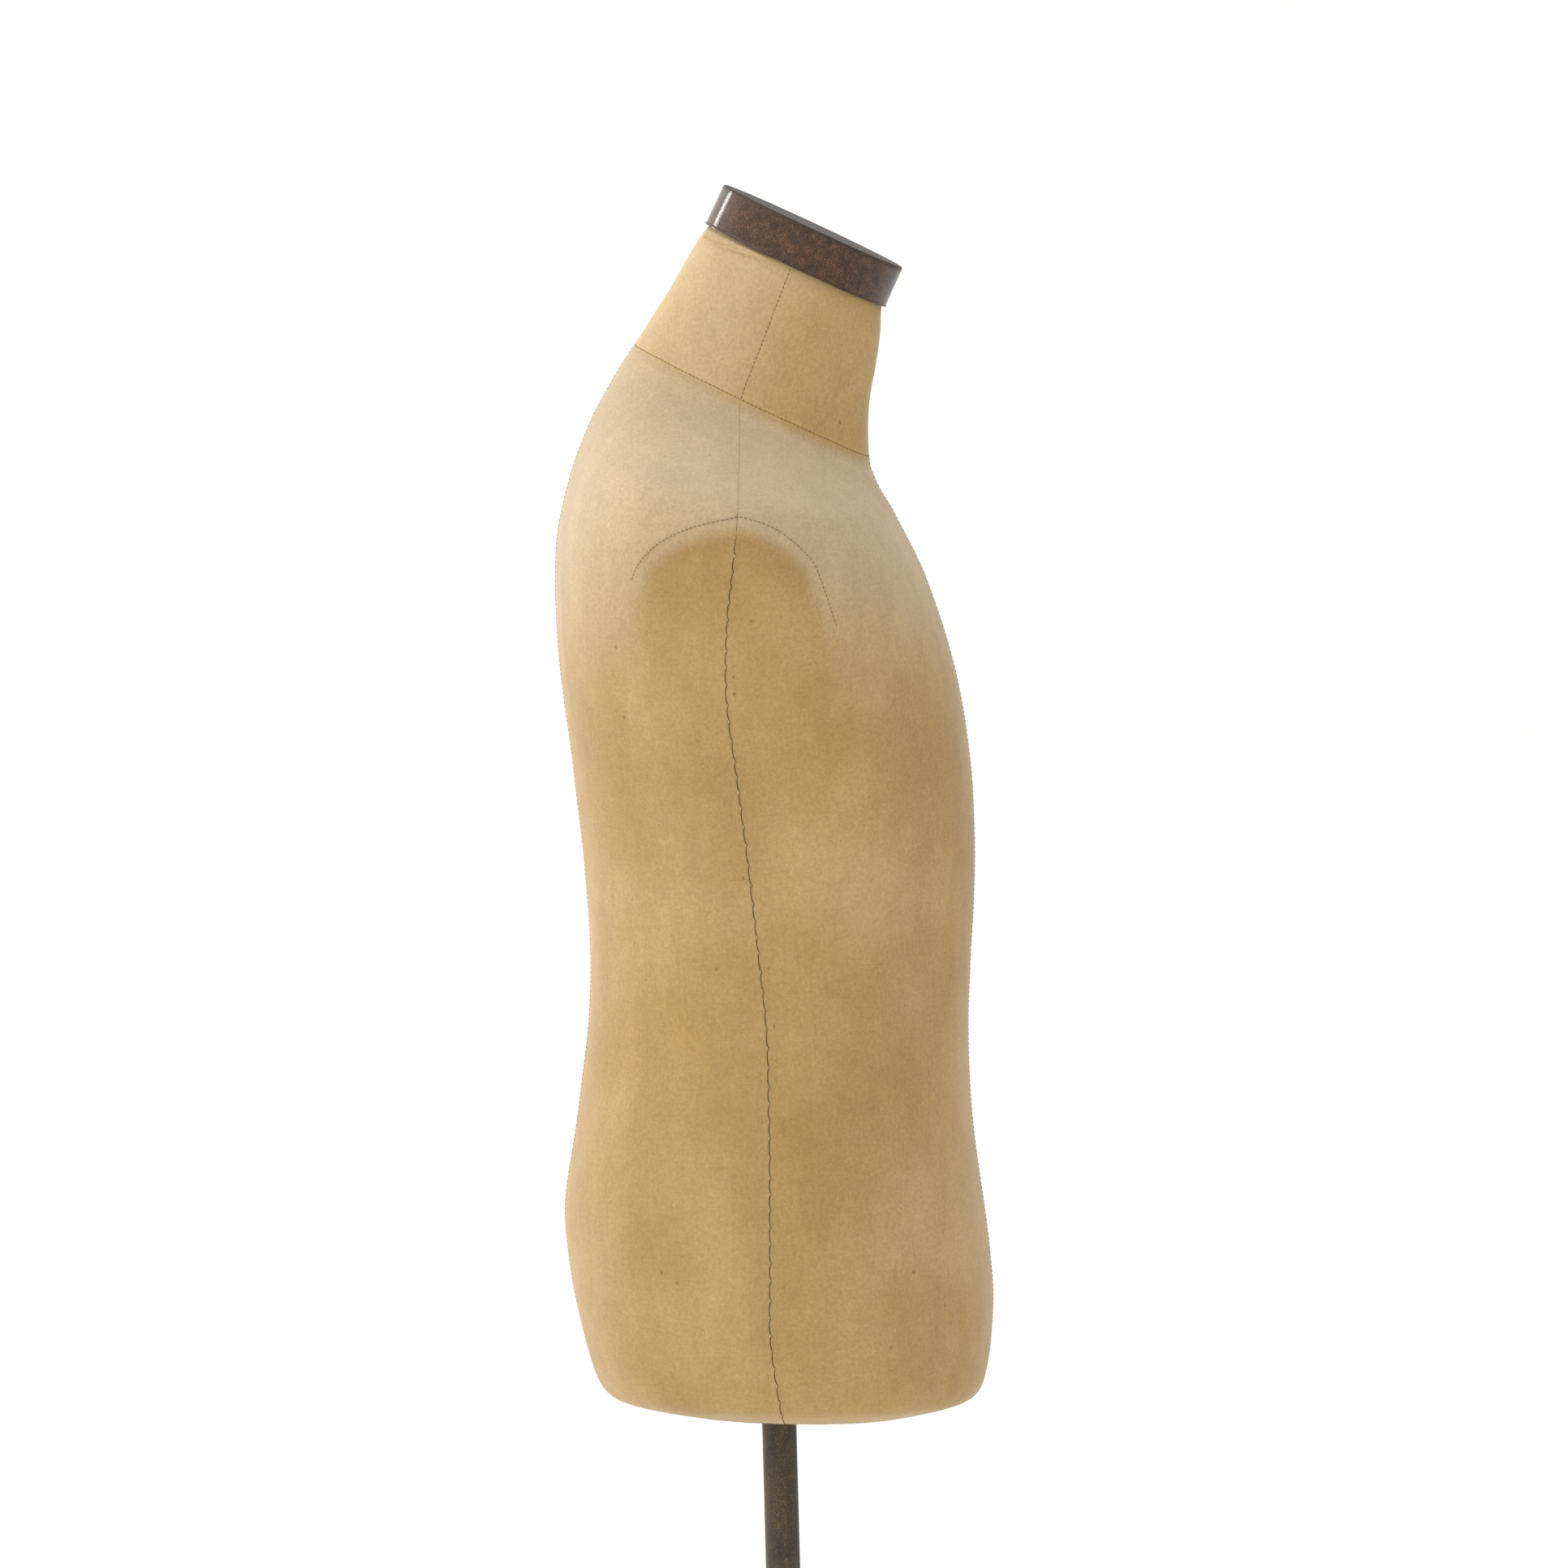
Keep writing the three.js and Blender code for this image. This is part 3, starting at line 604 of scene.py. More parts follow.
def turned(profile, steps, place=None, stretch=1.0):
    """A bmesh turned about +Z from (radius, height) points in mm, then put at a place."""
    bm = bmesh.new()
    points = [bm.verts.new((r * MM, 0, z * MM)) for r, z in profile]
    edges = [bm.edges.new(pair) for pair in zip(points, points[1:])]
    bmesh.ops.spin(
        bm,
        geom=points + edges,
        cent=(0, 0, 0),
        axis=(0, 0, 1),
        angle=2 * math.pi,
        steps=steps,
        use_merge=True,
    )
    bmesh.ops.remove_doubles(bm, verts=bm.verts[:], dist=0.005 * MM)
    bmesh.ops.recalc_face_normals(bm, faces=bm.faces[:])
    bmesh.ops.scale(bm, vec=(1, stretch, 1), verts=bm.verts[:])
    if place is not None:
        bmesh.ops.transform(bm, matrix=place, verts=bm.verts[:])
    return bm


def rounded(points, radius, segments=4):
    """A profile with its corners rounded to the radius, except at its two ends."""
    out = [points[0]]
    for before, at, after in zip(points, points[1:], points[2:]):
        a, b, c = Vector(before), Vector(at), Vector(after)
        reach = min(radius, (a - b).length / 2.05, (c - b).length / 2.05)
        start, end = b + (a - b).normalized() * reach, b + (c - b).normalized() * reach
        for k in range(segments + 1):
            t = k / segments
            out.append(tuple((1 - t) ** 2 * start + 2 * t * (1 - t) * b + t * t * end))
    return [*out, points[-1]]


# The torso's skin


def spine(point):
    """A point inside the torso or neck at a surface point's level."""
    neck_root = CAP_MIDDLE - NECK_AXIS * 150 * MM
    along = (point - neck_root).dot(NECK_AXIS)
    if along > 40 * MM and (point - CAP_MIDDLE).length < 140 * MM:
        return neck_root + NECK_AXIS * along
    return Vector((0, 0, point.z))


def grid_quads(bm):
    """Joins a panel's triangles in pairs. Its diagonals all run the same way, so the one at a
    corner leads to all the others."""
    corner = next(v for v in bm.verts if v.is_boundary and len(v.link_edges) == 3)
    diagonals = [next(e for e in corner.link_edges if not e.is_boundary)]
    seen = set(diagonals)
    for diagonal in diagonals:
        for face in diagonal.link_faces:
            for side in face.edges:
                if side == diagonal:
                    continue
                tip = next(v for v in side.verts if v not in diagonal.verts)
                for beyond in side.link_faces:
                    if beyond == face:
                        continue
                    found = next(e for e in beyond.edges if e != side and tip in e.verts)
                    if found not in seen:
                        seen.add(found)
                        diagonals.append(found)
    bmesh.ops.dissolve_edges(bm, edges=diagonals, use_verts=False)


def outer_faces(node):
    """The cover's outside alone, as quads."""
    bm = merged_copy(node)

    def is_outside(face):
        longest = max(edge.calc_length() for edge in face.edges)
        thin = 2 * face.calc_area() / longest < 1.6 * MM
        centre = face.calc_center_median()
        return not thin and face.normal.dot(centre - spine(centre)) > 0

    inside = [face for face in bm.faces if not is_outside(face)]
    bmesh.ops.delete(bm, geom=inside, context="FACES")
    grid_quads(bm)
    return bm


def cover_grid():
    """All the cover's panels welded into one tube of quads, and its vertices ring by ring."""
    bm = bmesh.new()
    panel = bm.faces.layers.int.new("panel")
    for layer in ("across", "up", "soil_and_painted_shade", "faded_and_lit"):
        bm.verts.layers.float.new(layer)
    for number, node in enumerate(COVERS, 1):
        part = outer_faces(node)
        mesh = bpy.data.meshes.new(node)
        part.to_mesh(mesh)
        part.free()
        bm.from_mesh(mesh)
        bpy.data.meshes.remove(mesh)
        for face in bm.faces:
            if face[panel] == 0:
                face[panel] = number
    bmesh.ops.remove_doubles(bm, verts=bm.verts[:], dist=0.7 * MM)
    half_way = middle("wadding").z
    ring = [v for v in bm.verts if v.is_boundary and v.co.z < half_way]
    ring.sort(key=lambda v: math.atan2(v.co.x, -v.co.y) % (2 * math.pi))
    front = min(range(len(ring)), key=lambda k: (abs(ring[k].co.x) > 1 * MM, ring[k].co.y))
    ring = ring[front:] + ring[:front]
    rings, seen = [ring], set(ring)
    while True:
        upwards = []
        for vert in ring:
            free = [e.other_vert(vert) for e in vert.link_edges]
            free = [other for other in free if other not in seen]
            upwards.append(free[0] if len(free) == 1 else None)
        if None in upwards:
            break
        ring = upwards
        seen.update(ring)
        rings.append(ring)
    return bm, rings


def measure_cloth(bm, rings):
    """Each vertex's place in the cloth: its distance from the side seam and from the hem."""
    across, up = bm.verts.layers.float["across"], bm.verts.layers.float["up"]
    count = len(rings[0])
    quarter = count // 4
    for ring in rings:
        for seam in (quarter, 3 * quarter):
            for way in (1, -1):
                total = 0
                forwards = 1 if (way == -1) == (seam == quarter) else -1
                for k in range(quarter):
                    here = ring[(seam + way * k) % count]
                    there = ring[(seam + way * (k + 1)) % count]
                    total += (there.co - here.co).length
                    there[across] = forwards * total
    for lower, upper in zip(rings, rings[1:]):
        for below, above in zip(lower, upper):
            above[up] = below[up] + (above.co - below.co).length


def hold_size(rings, rounds=3):
    """Moves the cage out so that the subdivided surface passes through the CAD's own points."""
    wanted = [[v.co.copy() for v in ring] for ring in rings]
    count, last = len(rings[0]), len(rings) - 1
    for _ in range(rounds):
        now = [[v.co.copy() for v in ring] for ring in rings]
        for i in range(1, last):
            for j in range(count):
                left, right = (j - 1) % count, (j + 1) % count
                edges = now[i][left] + now[i][right] + now[i - 1][j] + now[i + 1][j]
                corners = now[i - 1][left] + now[i - 1][right]
                corners = corners + now[i + 1][left] + now[i + 1][right]
                limit = (16 * now[i][j] + 4 * edges + corners) / 36
                rings[i][j].co = now[i][j] + wanted[i][j] - limit
        for i in (0, last):
            for j in range(count):
                ends = now[i][(j - 1) % count] + now[i][(j + 1) % count]
                limit = (4 * now[i][j] + ends) / 6
                rings[i][j].co = now[i][j] + wanted[i][j] - limit


def subdivided(bm, levels):
    """The bmesh's Catmull-Clark surface as a new bmesh."""
    cage = into_object(bm, "cage")
    surface = cage.modifiers.new("Subdivision", "SUBSURF")
    surface.levels = surface.render_levels = levels
    graph = bpy.context.evaluated_depsgraph_get()
    mesh = bpy.data.meshes.new_from_object(cage.evaluated_get(graph))
    dense = bmesh.new()
    dense.from_mesh(mesh)
    bpy.data.meshes.remove(mesh)
    old = cage.data
    bpy.data.objects.remove(cage)
    bpy.data.meshes.remove(old)
    return dense


def on_skin(tree, forwards, height, side):
    """The skin's point and normal at a place seen from one side; side is 1 for +X."""
    start = Vector((side, -forwards * MM, TORSO_BOTTOM + height * MM))
    point, normal, _, _ = tree.ray_cast(start, Vector((-side, 0, 0)))
    return point, normal


def spaced(points, step):
    """Points a step apart along a polyline."""
    out, carry = [points[0].copy()], 0.0
    for start, end in zip(points, points[1:]):
        length = (end - start).length
        while length > 0 and carry + step <= length:
            carry += step
            out.append(start.lerp(end, carry / length))
        carry -= length
    return out


def smooth_path(knots, rounds=3):
    """A polyline cut at its corners until it is smooth, its ends kept."""
    points = [Vector(knot) for knot in knots]
    for _ in range(rounds):
        cut = [points[0]]
        for a, b in zip(points, points[1:]):
            cut += [a.lerp(b, 0.25), a.lerp(b, 0.75)]
        points = [*cut, points[-1]]
    return points


def armhole_line(tree, side):
    """The armhole seam on the skin as points about a millimetre apart."""
    peak = [k for k, knot in enumerate(ARMHOLE) if knot == (0, 0)][0]
    back = smooth_path([(*knot, 0) for knot in ARMHOLE[: peak + 1]])
    front = smooth_path([(*knot, 0) for knot in ARMHOLE[peak:]])
    line = []
    for point in spaced([*back, *front[1:]], 1.0):
        found, _ = on_skin(tree, SHOULDER_TIP[0] + point.x, SHOULDER_TIP[1] + point.y, side)
        if found:
            line.append(found)
    return line


def kd(points):
    found = KDTree(len(points))
    for k, point in enumerate(points):
        found.insert(point, k)
    found.balance()
    return found


def seam_points(bm, first, second):
    """The points where two panels meet, from the hem up."""
    panel = bm.faces.layers.int["panel"]
    numbers = {COVERS.index(first) + 1, COVERS.index(second) + 1}
    meeting = set()
    for edge in bm.edges:
        if len(edge.link_faces) == 2 and {f[panel] for f in edge.link_faces} == numbers:
            meeting.update(edge.verts)
    return sorted((v.co.copy() for v in meeting), key=lambda p: p.z)


def neck_level(point):
    """How far below the cap's lower edge a point is, down the neck."""
    return -(point - CAP_MIDDLE).dot(NECK_AXIS) - CAP_HEIGHT / 2


# Folds where the cover is tucked under the cap at the back: (depth below the cap, height).
TUCKS = [(9.0, 2.0), (6.4, 1.8), (4.3, 1.5), (2.6, 1.0)]


def tuck_relief(point):
    depth = neck_level(point) / MM
    if not -3 < depth < 16:
        return 0
    flat = point - CAP_MIDDLE
    flat -= NECK_AXIS * flat.dot(NECK_AXIS)
    round_back = math.degrees(math.atan2(abs(flat.x), flat.y))
    run = (round_back - 10) / 66
    if not -0.1 < run < 1.15:
        return 0
    fading = smooth_step(-0.1, 0.12, run) * (1 - smooth_step(0.75, 1.12, run))
    drop = (0.55 + 0.45 * smooth_step(-0.1, 0.2, run)) * (1 - 0.62 * smooth_step(0.2, 1.1, run))
    total = 0
    for deep, height in TUCKS:
        total += height * math.exp(-(((depth - deep * drop) / 0.95) ** 2))
    return total * fading * MM


# Where the side seam's thread pulls the cloth into a pucker: mm above the torso's underside.
PUCKERS = {-1: (499.0, 466.0), 1: (512.0, 431.0)}
SCALLOP = 1.15  # how far the folded edge stands back between two hand stitches, in mm


def stitch_marks(points, side):
    """The hand stitches' places down a side seam, spaced unevenly as by hand."""
    draw = random.Random(31 + side)
    top = TORSO_BOTTOM + (SHOULDER_TIP[1] - 24) * MM
    down = smooth_line([p for p in reversed(points) if p.z < top])
    marks, at = [], 0.0
    fine = spaced(down, 0.5 * MM)
    while at < len(fine):
        marks.append(fine[int(at)])
        at += HAND_PITCH * draw.uniform(0.84, 1.14) / (0.5 * MM)
    return marks


def smooth_line(points, rounds=6):
    """A polyline with its points averaged along it."""
    line = [p.copy() for p in points]
    for _ in range(rounds):
        middle_ones = [(a + b * 2 + c) / 4 for a, b, c in zip(line, line[1:], line[2:])]
        line = [line[0], *middle_ones, line[-1]]
    return line


def pucker_relief(point, side, marks, forwards):
    """The cloth's small ridges round a tight stitch and its dimple at each stitch."""
    total = 0
    for mark in marks:
        if abs(mark.z - point.z) < 3 * MM:
            gap = (point - mark).length / MM
            total -= 0.3 * math.exp(-((gap / 1.1) ** 2))
    for height in PUCKERS[side]:
        centre = min(marks, key=lambda m: abs(m.z - TORSO_BOTTOM - height * MM))
        rise = (point.z - centre.z) / MM
        run = -forwards
        if abs(rise) > 14 or not -4 < run < 18:
            continue
        for slope, width, high in ((0.42, 0.75, 0.5), (0.02, 0.9, 0.42), (-0.5, 0.7, 0.4)):
            across = (rise - slope * run) / math.hypot(1, slope)
            reach = math.exp(-(((run - 3.5) / 5.5) ** 2)) if run > 3.5 else max(run + 1, 0) / 4.5
            total += high * math.exp(-((across / width) ** 2)) * reach
            total -= 0.5 * high * math.exp(-(((across - 1.7 * width) / width) ** 2)) * reach
    return total


def dress_skin(bm):
    """Shapes the skin as cloth: pressed in under the armhole seams, tucked under the cap, folded
    over and puckered along the hand-sewn side seams and gently uneven all over. It also marks
    where the cloth is darkened, with painted shade under the armhole ridges, below the cap's lip
    and beside the hand-sewn folds and a darker line along the armhole seams, and where it is
    painted paler, as faded and lit from above up top and as lit from behind on the neck's back."""
    soil_and_painted_shade, faded_and_lit = bm.verts.layers.float["soil_and_painted_shade"], bm.verts.layers.float["faded_and_lit"]
    bm.normal_update()
    tree = BVHTree.FromBMesh(bm)
    armholes = {side: armhole_line(tree, side) for side in (-1, 1)}
    trees = {side: kd(line) for side, line in armholes.items()}
    sides = {
        1: seam_points(bm, "cover_front_left", "cover_back_left"),
        -1: seam_points(bm, "cover_front_right", "cover_back_right"),
    }
    side_trees = {side: kd(points) for side, points in sides.items()}
    marks = {side: stitch_marks(points, side) for side, points in sides.items()}
    # The seam round the neck's foot lies in a plane that slopes from the nape to the throat.
    seam = [point for line in neck_seam_lines(bm) for point in line]
    throat, nape = min(seam, key=lambda p: p.y), max(seam, key=lambda p: p.y)
    neck_up = (nape - throat).normalized().cross(Vector((-1, 0, 0)))
    across = bm.verts.layers.float["across"]
    moved = []
    for vert in bm.verts:
        point, normal = vert.co, vert.normal
        side = 1 if point.x > 0 else -1
        line = armholes[side]
        near, at, away = trees[side].find(point)
        share = at / (len(line) - 1)
        ends = smooth_step(0, 0.12, share) * smooth_step(0, 0.22, 1 - share)
        inside = point.z < near.z and near.y - 80 * MM < point.y < near.y + 80 * MM
        gap = away / MM
        level = (point.z - TORSO_BOTTOM) / MM
        push = 0
        if gap < 90:
            if inside:
                push -= 2.0 * (gap / 15) * math.exp(1 - gap / 15) * ends
            else:
                push += 0.6 * math.exp(-gap / 7) * ends
            push -= 0.2 * math.exp(-((gap / 0.8) ** 2)) * ends
        where = point * 14
        push += 0.45 * noise.noise(where) + 0.2 * noise.noise(point * 37)
        slide = Vector((0, 0, 0))
        hand_sewn = smooth_step(0, 12, SHOULDER_TIP[1] - 9 - level)
        seam_gap = side_trees[side].find(point)[2] / MM
        forwards = vert[across] / MM
        if hand_sewn and seam_gap < 20:
            after = min(marks[side], key=lambda m: abs(m.z - point.z))
            # How far along between two stitches this level is.
            span = abs(point.z - after.z) / (0.5 * HAND_PITCH)
            bow = 1 - (1 - min(span, 1)) ** 3
            reach = math.exp(-((seam_gap / 3.2) ** 2))
            slide = Vector((0, 1, 0)) * SCALLOP * (bow - 0.45) * reach * hand_sewn
            if forwards < -0.05:
                push += 0.5 * math.exp(-((seam_gap / 3.0) ** 2)) * hand_sewn * (0.35 + 0.65 * bow)
            push += pucker_relief(point, side, marks[side], forwards) * hand_sewn
        shifted = point + normal * (push * MM + tuck_relief(point)) + slide * MM
        moved.append(shifted)
        # A band of painted shade below each armhole seam, where the cloth turns down under the
        # ridge.
        middle_gap = 6 + 9 * math.sin(math.pi * share)
        armhole_shade = math.exp(-(((gap - middle_gap) / 9) ** 2)) * ends if inside else 0
        # Painted shade just below the cap's lip.
        cap_lip_shade = math.exp(-max(neck_level(point) / MM, 0) / 4) if level > 600 else 0
        # Painted shadow in a narrow strip beside the hand-sewn seam's folded edge.
        fold_shadow_strip = max(0.0, 1 - abs(forwards - 0.25) / 0.8) if seam_gap < 2 else 0
        stitched = math.exp(-((gap / 1.3) ** 2)) * ends
        # All three are painted shade; a darker line along the armhole seam is added to them.
        painted_shade = 0.18 * armhole_shade + 0.3 * cap_lip_shade + 0.25 * fold_shadow_strip * hand_sewn
        vert[soil_and_painted_shade] = min(painted_shade + 0.12 * stitched, 0.6)
        # Painted paler from the chest up: faded cloth, lit from above.
        faded_and_lit_up_top = smooth_step(FADED_LIT_FROM, FADED_LIT_ABOVE, level + 30 * noise.noise(point * 11))
        # The paleness stops just below the armhole seam, where the cloth turns down out of the
        # light.
        if inside:
            ahead = -point.y / MM
            under = smooth_step(ARCH[0] - 6, ARCH[0] + 12, ahead)
            under *= 1 - smooth_step(ARCH[1] - 14, ARCH[1] + 8, ahead)
            faded_and_lit_up_top *= 1 - smooth_step(3, 14, gap) * under
        on_neck = smooth_step(-9, 1, (point - throat).dot(neck_up) / MM)
        round_neck = point - CAP_MIDDLE
        round_neck -= NECK_AXIS * round_neck.dot(NECK_AXIS)
        # The back half of the neck, which faces the lights behind the form, is painted paler.
        lit_neck_back = 0.5 * smooth_step(-0.03, 0.03, round_neck.y)
        vert[faded_and_lit] = 0.8 * faded_and_lit_up_top * (1 - on_neck) + lit_neck_back * on_neck
    for vert, place in zip(bm.verts, moved):
        vert.co = place
    return armholes, sides, marks


def neck_seam_lines(bm):
    """The four lines in which the neck's cover meets the body's panels."""
    return [
        seam_points(bm, f"cover_{end}_{side}", f"neck_cover_{end}")
        for end in ("front", "back")
        for side in ("left", "right")
    ]


def refine(bm, is_near):
    """Halves the faces where the relief is finer."""
    chosen = set()
    for face in bm.faces:
        if is_near(face.calc_center_median()):
            chosen.update(face.edges)
    chosen = [edge for edge in bm.edges if edge in chosen]
    bmesh.ops.subdivide_edges(bm, edges=chosen, cuts=1, use_grid_fill=True, smooth=0)


def turn_in_edges(bm, drop_at):
    """Rolls a panel's edges inwards, as where cloth is folded under at a seam."""
    first = bmesh.ops.inset_region(
        bm, faces=bm.faces[:], thickness=EDGE_ROLL, depth=0, use_boundary=True, use_even_offset=True
    )["faces"]
    rim = set(first)
    inner = [face for face in bm.faces if face not in rim]
    second = bmesh.ops.inset_region(
        bm, faces=inner, thickness=EDGE_ROLL, depth=0, use_boundary=True, use_even_offset=True
    )["faces"]
    bm.normal_update()
    edge = {v for v in bm.verts if v.is_boundary}
    step = {v for face in first for v in face.verts} - edge
    drops = [(edge, 1.0), (step, 0.25)]
    lowered = [
        (v, v.co - v.normal * share * drop_at(v.co)) for verts, share in drops for v in verts
    ]
    for vert, place in lowered:
        vert.co = place
    return second


def cut_panel(bm, number, drop_at):
    """One panel of the dressed skin as its own bmesh, with its cloth map."""
    one = bm.copy()
    panel = one.faces.layers.int["panel"]
    others = [face for face in one.faces if face[panel] != number]
    bmesh.ops.delete(one, geom=others, context="FACES")
    turn_in_edges(one, drop_at)
    across, up = one.verts.layers.float["across"], one.verts.layers.float["up"]
    cloth = one.loops.layers.uv.new("Cloth")
    for face in one.faces:
        for loop in face.loops:
            loop[cloth].uv = (loop.vert[across], loop.vert[up])
    return one


def build_cover():
    bm, rings = cover_grid()
    measure_cloth(bm, rings)
    hold_size(rings)
    dense = subdivided(bm, 3)
    skin = BVHTree.FromBMesh(dense)
    lines = [p for side in (-1, 1) for p in armhole_line(skin, side)]
    side_points = seam_points(dense, "cover_front_left", "cover_back_left")
    side_points += seam_points(dense, "cover_front_right", "cover_back_right")
    near_lines, side_lines = kd(lines + side_points), kd(side_points)

    hand_top = TORSO_BOTTOM + SHOULDER_TIP[1] * MM

    def tucked(point):
        return -2 * MM < neck_level(point) < 13 * MM and point.y > CAP_MIDDLE.y - 20 * MM

    def is_hand_sewn(point, reach):
        return point.z < hand_top and side_lines.find(point)[2] < reach

    refine(dense, lambda p: tucked(p) or near_lines.find(p)[2] < 7 * MM)
    refine(dense, lambda p: tucked(p) or is_hand_sewn(p, 6 * MM))
    refine(dense, lambda p: is_hand_sewn(p, 4.5 * MM))
    armholes, sides, marks = dress_skin(dense)
    dense.normal_update()
    skin = BVHTree.FromBMesh(dense)
    stitched = kd([mark for side in (-1, 1) for mark in marks[side]])

    def drop_at(point):
        """How deep a turned-in edge lies here: deepest between two hand stitches."""
        if not is_hand_sewn(point, 4 * MM):
            return PLAIN_DROP
        gap = stitched.find(point)[2] / MM
        return (HAND_DROP - STITCHED_RISE * math.exp(-((gap / 1.2) ** 2))) * MM

    for number, node in enumerate(COVERS, 1):
        piece = into_object(cut_panel(dense, number, drop_at), f"{node}_cloth")
        wall = piece.modifiers.new("Cloth thickness", "SOLIDIFY")
        wall.thickness, wall.offset = CLOTH_THICKNESS, -1
        material = LIT_NECK_CANVAS if node.startswith("neck") else CANVAS
        settle(piece, "torso", material, [node], sharp=0)
    seams = {
        "armholes": armholes,
        "sides": sides,
        "marks": marks,
        "neck": neck_seam_lines(dense),
        "neck_side": seam_points(dense, "neck_cover_front", "neck_cover_back"),
        "front": seam_points(dense, "cover_front_left", "cover_front_right"),
        "back": seam_points(dense, "cover_back_left", "cover_back_right"),
    }
    dense.free()
    return skin, seams


def add_stitch(bm, skin, at, along, length, radius, sink, lean=0.0):
    """One stitch, a thread that dips into the cloth at both ends."""
    point, normal, _, _ = skin.find_nearest(at)
    flat = (along - normal * along.dot(normal)).normalized()
    if lean:
        flat = Matrix.Rotation(lean, 3, normal) @ flat
    aside = normal.cross(flat)
    turn = Matrix((aside, flat, normal)).transposed().to_4x4()
    place = Matrix.Translation(point + normal * (radius - sink)) @ turn
    shape = Matrix.Diagonal((radius, length / 2, radius, 1))
    lie = Matrix.Rotation(math.pi / 2, 4, "X")
    bmesh.ops.create_uvsphere(
        bm, u_segments=6, v_segments=5, radius=1, matrix=place @ shape @ lie
    )


def machine_seam(name, skin, lines, thread=SEWING_THREAD):
    """Machine stitches along one or more lines of points."""
    bm = bmesh.new()
    for line in lines:
        points = spaced(line, STITCH_PITCH)
        for a, b in zip(points, points[1:]):
            add_stitch(bm, skin, (a + b) / 2, b - a, 2.3 * MM, 0.22 * MM, 0.18 * MM)
    piece = into_object(bm, name)
    return settle(piece, "torso", thread, sharp=0)


def hand_seam(name, skin, points, marks, seed):
    """The hand-sewn side seam's thread: a run of small stitches at the top, a knot, and then a
    short stitch over the folded edge at each mark."""
    draw = random.Random(seed)
    top = TORSO_BOTTOM + (SHOULDER_TIP[1] - 9) * MM
    bm = bmesh.new()
    start = smooth_line([p for p in reversed(points) if marks[0].z < p.z < top])
    run = spaced(start, 2.4 * MM)
    for a, b in zip(run, run[1:]):
        add_stitch(bm, skin, (a + b) / 2, b - a, 2.5 * MM, 0.26 * MM, 0.3 * MM)
    for turn in (20, 75, 130):
        along = Vector((0, 1, -0.3))
        add_stitch(bm, skin, marks[0], along, 2.6 * MM, 0.3 * MM, 0.1 * MM, math.radians(turn))
    for mark in marks[1:]:
        lean = math.radians(draw.uniform(20, 50))
        length = draw.uniform(1.5, 2.6) * MM
        backwards = Vector((0, 0.5 * MM, 0))
        add_stitch(
            bm, skin, mark + backwards, Vector((0, 1, -0.2)), length, 0.2 * MM, 0.12 * MM, lean
        )
    piece = into_object(bm, name)
    return settle(piece, "torso", WAXED_THREAD, sharp=0)


def sew(skin, seams):
    for side, word in ((1, "left"), (-1, "right")):
        machine_seam(f"armhole_stitches_{word}", skin, [seams["armholes"][side]])
        marks = seams["marks"][side]
        hand_seam(f"side_seam_thread_{word}", skin, seams["sides"][side], marks, 7 + side)
        above = [p for p in seams["sides"][side] if p.z > TORSO_BOTTOM + SHOULDER_TIP[1] * MM]
        machine_seam(f"shoulder_stitches_{word}", skin, [above], PALE_THREAD)
        neck = [p for p in seams["neck_side"] if p.x * side > 0]
        machine_seam(f"neck_side_stitches_{word}", skin, [neck])
    rounds = []
    for line in seams["neck"]:
        rounds.append(sorted(line, key=lambda p: math.atan2(abs(p.x), -p.y)))
    machine_seam("neck_seam_stitches", skin, rounds)
    machine_seam("centre_front_stitches", skin, [seams["front"]])
    machine_seam("centre_back_stitches", skin, [seams["back"]])


def build_underside():
    """The canvas under the torso, drawn in round the pole's hole."""
    bm = merged_copy("cover_underside")
    upper = [f for f in bm.faces if f.normal.z > -0.3]
    bmesh.ops.delete(bm, geom=upper, context="FACES")
    join_pairs(bm)
    bmesh.ops.subdivide_edges(bm, edges=bm.edges[:], cuts=7, use_grid_fill=True)
    cloth = bm.loops.layers.uv.new("Cloth")
    soil_and_painted_shade = bm.verts.layers.float.new("soil_and_painted_shade")
    for vert in bm.verts:
        reach = Vector((vert.co.x, vert.co.y)).length
        # Darker towards the pole's hole, and a little darker all over.
        vert[soil_and_painted_shade] = 0.3 * math.exp(-(reach - 15 * MM) / (8 * MM)) + 0.08
        if not vert.is_boundary:
            vert.co.z += 0.5 * MM * noise.noise(vert.co * 30)
    for face in bm.faces:
        for loop in face.loops:
            loop[cloth].uv = (loop.vert.co.x, loop.vert.co.y)
    piece = into_object(bm, "underside_cloth")
    wall = piece.modifiers.new("Cloth thickness", "SOLIDIFY")
    wall.thickness, wall.offset = CLOTH_THICKNESS, -1
    settle(piece, "torso", CANVAS, ["cover_underside"], sharp=0)


def build_wadding(skin):
    """Cotton wadding between body and cover, lumpy, and thinner where the cover is tight."""
    bm = merged_copy("wadding")
    join_pairs(bm)
    bmesh.ops.subdivide_edges(bm, edges=bm.edges[:], cuts=3, use_grid_fill=True)
    for vert in bm.verts:
        near, normal, _, _ = skin.find_nearest(vert.co)
        depth = (near - vert.co).dot(normal)
        lump = (0.3 + 0.25 * noise.noise(vert.co * 60)) * MM
        wanted = CLOTH_THICKNESS + 1.2 * MM + lump
        if depth < wanted:
            vert.co -= normal * (wanted - depth)
    piece = into_object(bm, "wadding_layer")
    settle(piece, "torso", COTTON_WADDING, ["wadding"], sharp=0)


# Metal pieces


